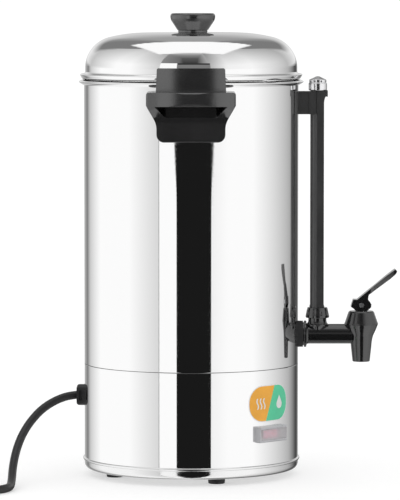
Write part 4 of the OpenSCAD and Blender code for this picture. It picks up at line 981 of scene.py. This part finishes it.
class URN_OT_gauge(bpy.types.Operator):
    """Makes the shank, the gauge and its cap"""
    bl_idname = "urn.gauge"
    bl_label = "Shank and sight gauge"

    # barrel and branch by (radius, place along the axis), cap by (radius, height above its foot)
    BARREL = [
        (4.98, 159), (7.45, 159), (7.5, 158.6), (7.5, 150.6), (10.2, 150.5), (10.2, 120.2), (10.6, 119.2),
        (11.6, 118.65), (13.3, 118.5), (13.65, 118.1), (13.65, 116.4), (13.3, 116), (12, 116), (12, 115), (8, 115),
        (8, 97.5), (4.98, 97.5), (4.98, 159)]
    BRANCH = [
        (5.04, 168), (8, 168), (8, 161.9), (9.1, 161.8), (9.35, 161.5), (9.35, 158.4), (9.7, 157.2), (10.5, 155.9),
        (11.6, 154.8), (11.7, 153.6), (9.3, 150), (9.3, 145), (5.04, 145), (5.04, 168)]
    CAP = [
        (0, 14.5), (0.9, 14.45), (1.7, 14.3), (2.4, 14.0), (3.2, 13.6), (8.4, 11.25), (8.7, 11.0), (8.8, 10.6),
        (8.8, 8.15), (8.95, 7.9), (9.35, 7.5), (9.5, 7.1), (9.5, 0.8), (9.3, 0.35), (8.8, 0), (5.25, 0),
        (5.25, 10.9), (0, 10.9)]

    def execute(self, context):
        edge = context.scene.urn_moulding.tap_edge * 0.8
        softened("gauge_shield", "glass_shield", "shield black", "black_gloss", edge)
        softened("gauge_bracket", "shield_bracket", "shield black", "black_gloss", edge)
        shank = joined("shank_black", [
            turned("shank", self.BARREL, "gloss black", 96, BARREL_AXIS),
            turned("branch", self.BRANCH, "gloss black", 96, GAUGE_AXIS)])
        finished(shank, "black_gloss", "tap_tee")
        finished(self.nut(), "black_gloss", "gauge_nut")
        finished(self.cap(), "bright_cap", "gauge_cap")
        low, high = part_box("gauge_glass")
        a, b = low.z / MM, high.z / MM
        tube = [(3.7, b), (3.8, b), (4.9, b), (5, b - 0.2), (5, a + 0.2), (4.9, a), (3.8, a), (3.7, a + 0.2),
                (3.7, b)]
        finished(turned("sight_tube", tube, "sight glass", 64, GAUGE_AXIS), "sight_glass", "gauge_glass")
        return {"FINISHED"}

    def nut(self):
        """The gauge nut with its finger notches."""
        base, foot, notches, notch_r, set_out = 12.1, 161.8, 10, 1.7, 0.6
        profile = [(5.3, 10.6), (9.9, 10.6), (10.25, 10.35), (10.45, 9.6)]
        profile += [(base - 1.8 * (h - 2.2) / 8.4, h) for h in (8, 6.5, 5, 4, 3.2, 2.8, 2.5)]
        profile += [(base, 2.3), (base, 0.4), (base - 0.35, 0), (8.02, 0), (8.02, 8), (5.3, 8), (5.3, 10.6)]
        nut = turned("gauge_nut_black", raised(profile, foot), "gloss black", 360)
        step, centre = math.tau / notches, base + set_out
        for vertex in nut.data.vertices:
            x, y, z = vertex.co
            r = math.hypot(x, y) / MM
            if r < 9.3 or z < (foot + 2.75) * MM:
                continue
            gap = (math.atan2(y, x) % step) - step / 2
            inside = notch_r ** 2 - (centre * math.sin(gap)) ** 2
            if inside > 0:
                r_cut = centre * math.cos(gap) - math.sqrt(inside)
                if r_cut < r:
                    vertex.co.x, vertex.co.y = x * r_cut / r, y * r_cut / r
        nut.data.transform(GAUGE_AXIS)
        smooth(nut.data, 32)
        return nut

    def cap(self):
        """The bright cap with its ring of air holes."""
        foot, holes_z, holes = 395.8, 9.35, 8
        cap = turned("gauge_cap_bright", raised(self.CAP, foot), "bright cap", 128, GAUGE_AXIS)
        hole = turned("holes", [(0, 12), (1, 12), (1, 4), (0, 4)], "bright cap", 20,
                      Matrix.Rotation(math.radians(90), 4, "Y"))
        run_tree(hole, ring_tree, "bright cap", Count=holes, First_angle=math.pi / holes)
        hole.data.transform(GAUGE_AXIS @ Matrix.Translation((0, 0, (foot + holes_z) * MM)))
        return cut(cap, hole)


class URN_OT_tap(bpy.types.Operator):
    """Makes the tap's body, bonnet and lever"""
    bl_idname = "urn.tap"
    bl_label = "Tap"

    # body, bonnet and arm by (radius, height), the first two from the body's head, the arm along its axis
    HEAD = 155.4
    BODY = [
        (12.02, 0), (16.9, 0), (17.2, -0.15), (17.35, -0.6), (17.1, -1.2), (16.85, -1.6), (16, -4), (14.7, -7),
        (13.2, -10.2), (12.24, -12.4), (11.5, -15.4), (10.9, -18.9), (10.8, -20.4), (10.5, -23.9), (10, -28.4),
        (9.4, -33.9), (8.9, -38.3), (8.75, -38.7), (8.4, -38.9), (5.7, -38.9), (5.5, -38.6), (5.5, -17.4),
        (8.22, -13.8), (8.22, -6.3), (12.02, -6.3), (12.02, 0)]
    BONNET = [
        (3.05, 13.2), (12.1, 13.2), (12.35, 13.05), (12.55, 12.75), (12.9, 12.4), (13.35, 11.9), (13.6, 11.0),
        (17.05, 0.95), (17.3, 0.7), (17.35, 0.4), (17.35, 0), (12, 0), (12, -6), (8.7, -6), (8.7, 9.2),
        (3.05, 9.2), (3.05, 13.2)]
    ARM = [(9, 166), (10.2, 166), (10.2, 150.52), (7.52, 150.52), (7.52, 160), (9, 160), (9, 166)]

    def execute(self, context):
        body = joined("tap_body_black", [
            turned("core", raised(self.BODY, self.HEAD), "gloss black", 128, TAP_AXIS, 38),
            turned("arm", self.ARM, "gloss black", 96, BARREL_AXIS)])
        finished(body, "black_gloss", "tap_body")
        bonnet = turned("tap_bonnet_black", raised(self.BONNET, self.HEAD), "gloss black", 128, TAP_AXIS, 38)
        finished(bonnet, "black_gloss", "tap_bonnet")
        edge = context.scene.urn_moulding.tap_edge * 1.4
        softened("tap_lever", "lever_black", "gloss black", "black_gloss", edge, body="lever")
        return {"FINISHED"}


class URN_OT_switch(bpy.types.Operator):
    """Dresses the rocker switch in its frame"""
    bl_idname = "urn.switch"
    bl_label = "Switch"

    def execute(self, context):
        softened("switch_housing", "switch_frame", "switch grey", "switch_grey", 0.00025, 2)
        return {"FINISHED"}


class URN_OT_sticker(bpy.types.Operator):
    """Lays the two-colour sticker on the skirt"""
    bl_idname = "urn.sticker"
    bl_label = "Sticker"

    SLANT, CORNER, BORDER = 0.36, 17.2, 0.8
    RIM_LIFT, HALF_LIFT, MARK_LIFT = 0.06, 0.09, 0.11  # how far each layer stands off the skirt

    def execute(self, context):
        s = context.scene.urn_sticker
        w, h = s.width / MM / 2, s.height / MM / 2
        parts = [self.patch(self.pill(w, h, self.CORNER), self.RIM_LIFT, "sticker rim", s)]
        for side, coat in ((-1, "sticker warm"), (1, "sticker fresh")):
            half = self.pill(w - self.BORDER, h - self.BORDER, self.CORNER - self.BORDER, side)
            parts.append(self.patch(half, self.HALF_LIFT, coat, s))
        apart, tall, steps, half = 4.4, 11, 12, 0.8
        for k in (-1, 0, 1):
            wave = [(-w * 0.46 + k * apart + math.sin(t / steps * math.tau), -tall / 2 + t * tall / steps)
                    for t in range(steps + 1)]
            ribbon = [(u - half, v) for u, v in wave] + [(u + half, v) for u, v in wave[::-1]]
            parts.append(self.patch(ribbon, self.MARK_LIFT, "sticker mark", s))
        drop = [(w * 0.5 + u, v) for u, v in [(0, 7.5)] + arc(0, -1.8, 4.6, 30, -210, 24)]
        parts.append(self.patch(drop, self.MARK_LIFT, "sticker mark", s))
        sticker = joined("skirt_sticker", parts)
        smooth(sticker.data, 60)
        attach(sticker, "urn")
        return {"FINISHED"}

    def pill(self, w, h, r, side=0):
        """A rounded outline; side keeps only what lies left (-1) or right (1) of a slanted line."""
        corners = [arc(w - r, h - r, r, 90, 0, 14), arc(w - r, r - h, r, 0, -90, 14),
                   arc(r - w, r - h, r, 270, 180, 14), arc(r - w, h - r, r, 180, 90, 14)]
        if not side:
            return sum(corners, [])
        slant = self.SLANT * h
        return (corners[0] + corners[1] + [(-slant, -h), (slant, h)] if side > 0
                else [(slant, h), (-slant, -h)] + corners[2] + corners[3])

    def patch(self, outline, lift, coat, s):
        """A thin flat shape, bent round the skirt."""
        shape = bmesh.new()
        face = shape.faces.new([shape.verts.new((u, v, 0)) for u, v in outline])
        bmesh.ops.triangulate(shape, faces=[face])
        for k in range(-30, 31):  # a cut at each millimetre of the width
            bmesh.ops.bisect_plane(shape, geom=shape.verts[:] + shape.edges[:] + shape.faces[:],
                                   plane_co=(k, 0, 0), plane_no=(1, 0, 0), dist=1e-4)
        r = (SHELL_R + lift) * MM
        for vertex in shape.verts:
            turn = s.turn + vertex.co.x / SHELL_R
            vertex.co = (r * math.cos(turn), r * math.sin(turn), s.centre + vertex.co.y * MM)
        for face in shape.faces:
            face.normal_update()
            middle = face.calc_center_median()
            if face.normal.x * middle.x + face.normal.y * middle.y < 0:
                face.normal_flip()
        mesh = bpy.data.meshes.new("patch")
        shape.to_mesh(mesh)
        shape.free()
        return add_object("patch", mesh, finish(coat))


class URN_OT_small_parts(bpy.types.Operator):
    """Gives the screws, seals, heater and wiring their finishes"""
    bl_idname = "urn.small_parts"
    bl_label = "Small and inner parts"

    ROWS = {
        "zinc plate": ("foot_screws", "foot_nuts", "tie_stud", "tie_nut", "handle_screws", "tee_nut",
                       "bracket_screw", "knob_screw", "knob_washer", "lever_pin", "valve_stem"),
        "silicone": ("handle_seals", "tee_seal_inner", "bracket_seal", "gauge_seal", "seat_cup"),
        "black rubber": ("tee_seal_outer",),
        "inner steel": ("lid_collar",),
        "rocker red": ("switch_rocker",),
        "clear cover": ("switch_cover",),
        "plug pin": ("plug_pins",),
        "spreader": ("heater_plate",),
        "element sheath": ("heating_element",),
        "sensor body": ("thermostat", "thermal_cutout"),
        "terminal ivory": ("terminal_block",),
        "wire sleeve": ("wiring",),
    }

    def execute(self, context):
        for coat, nodes in self.ROWS.items():
            for part in nodes:
                coated(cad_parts[part].data, finish(coat))
        return {"FINISHED"}


STEPS = (URN_OT_stage, URN_OT_cord, URN_OT_vessel, URN_OT_base, URN_OT_lid, URN_OT_handles, URN_OT_gauge,
         URN_OT_tap, URN_OT_switch, URN_OT_sticker, URN_OT_small_parts)
SETTINGS = {"urn_steel": SteelSettings, "urn_moulding": MouldingSettings, "urn_sticker": StickerSettings,
            "urn_cord": CordSettings, "urn_stage": StageSettings}


class URN_PT_panel(bpy.types.Panel):
    """Lists the urn's settings and steps"""
    bl_idname = "URN_PT_panel"
    bl_label = "Hot Water Urn"
    bl_space_type = "VIEW_3D"
    bl_region_type = "UI"
    bl_category = "Urn"

    def draw(self, context):
        for key, kind in SETTINGS.items():
            box = self.layout.box()
            box.label(text=kind.__doc__)
            for name in kind.__annotations__:
                box.prop(getattr(context.scene, key), name)
        for step in STEPS:
            self.layout.operator(step.bl_idname)


def register():
    for kind in (*SETTINGS.values(), *STEPS, URN_PT_panel):
        bpy.utils.register_class(kind)
    for key, kind in SETTINGS.items():
        setattr(bpy.types.Scene, key, PointerProperty(type=kind))


def unregister():
    for key in SETTINGS:
        delattr(bpy.types.Scene, key)
    for kind in (URN_PT_panel, *reversed(STEPS), *SETTINGS.values()):
        bpy.utils.unregister_class(kind)


def main():
    register()
    make_finishes(bpy.context.scene)
    for step in STEPS:
        area, name = step.bl_idname.split(".")
        getattr(getattr(bpy.ops, area), name)()


if __name__ == "__main__":
    main()
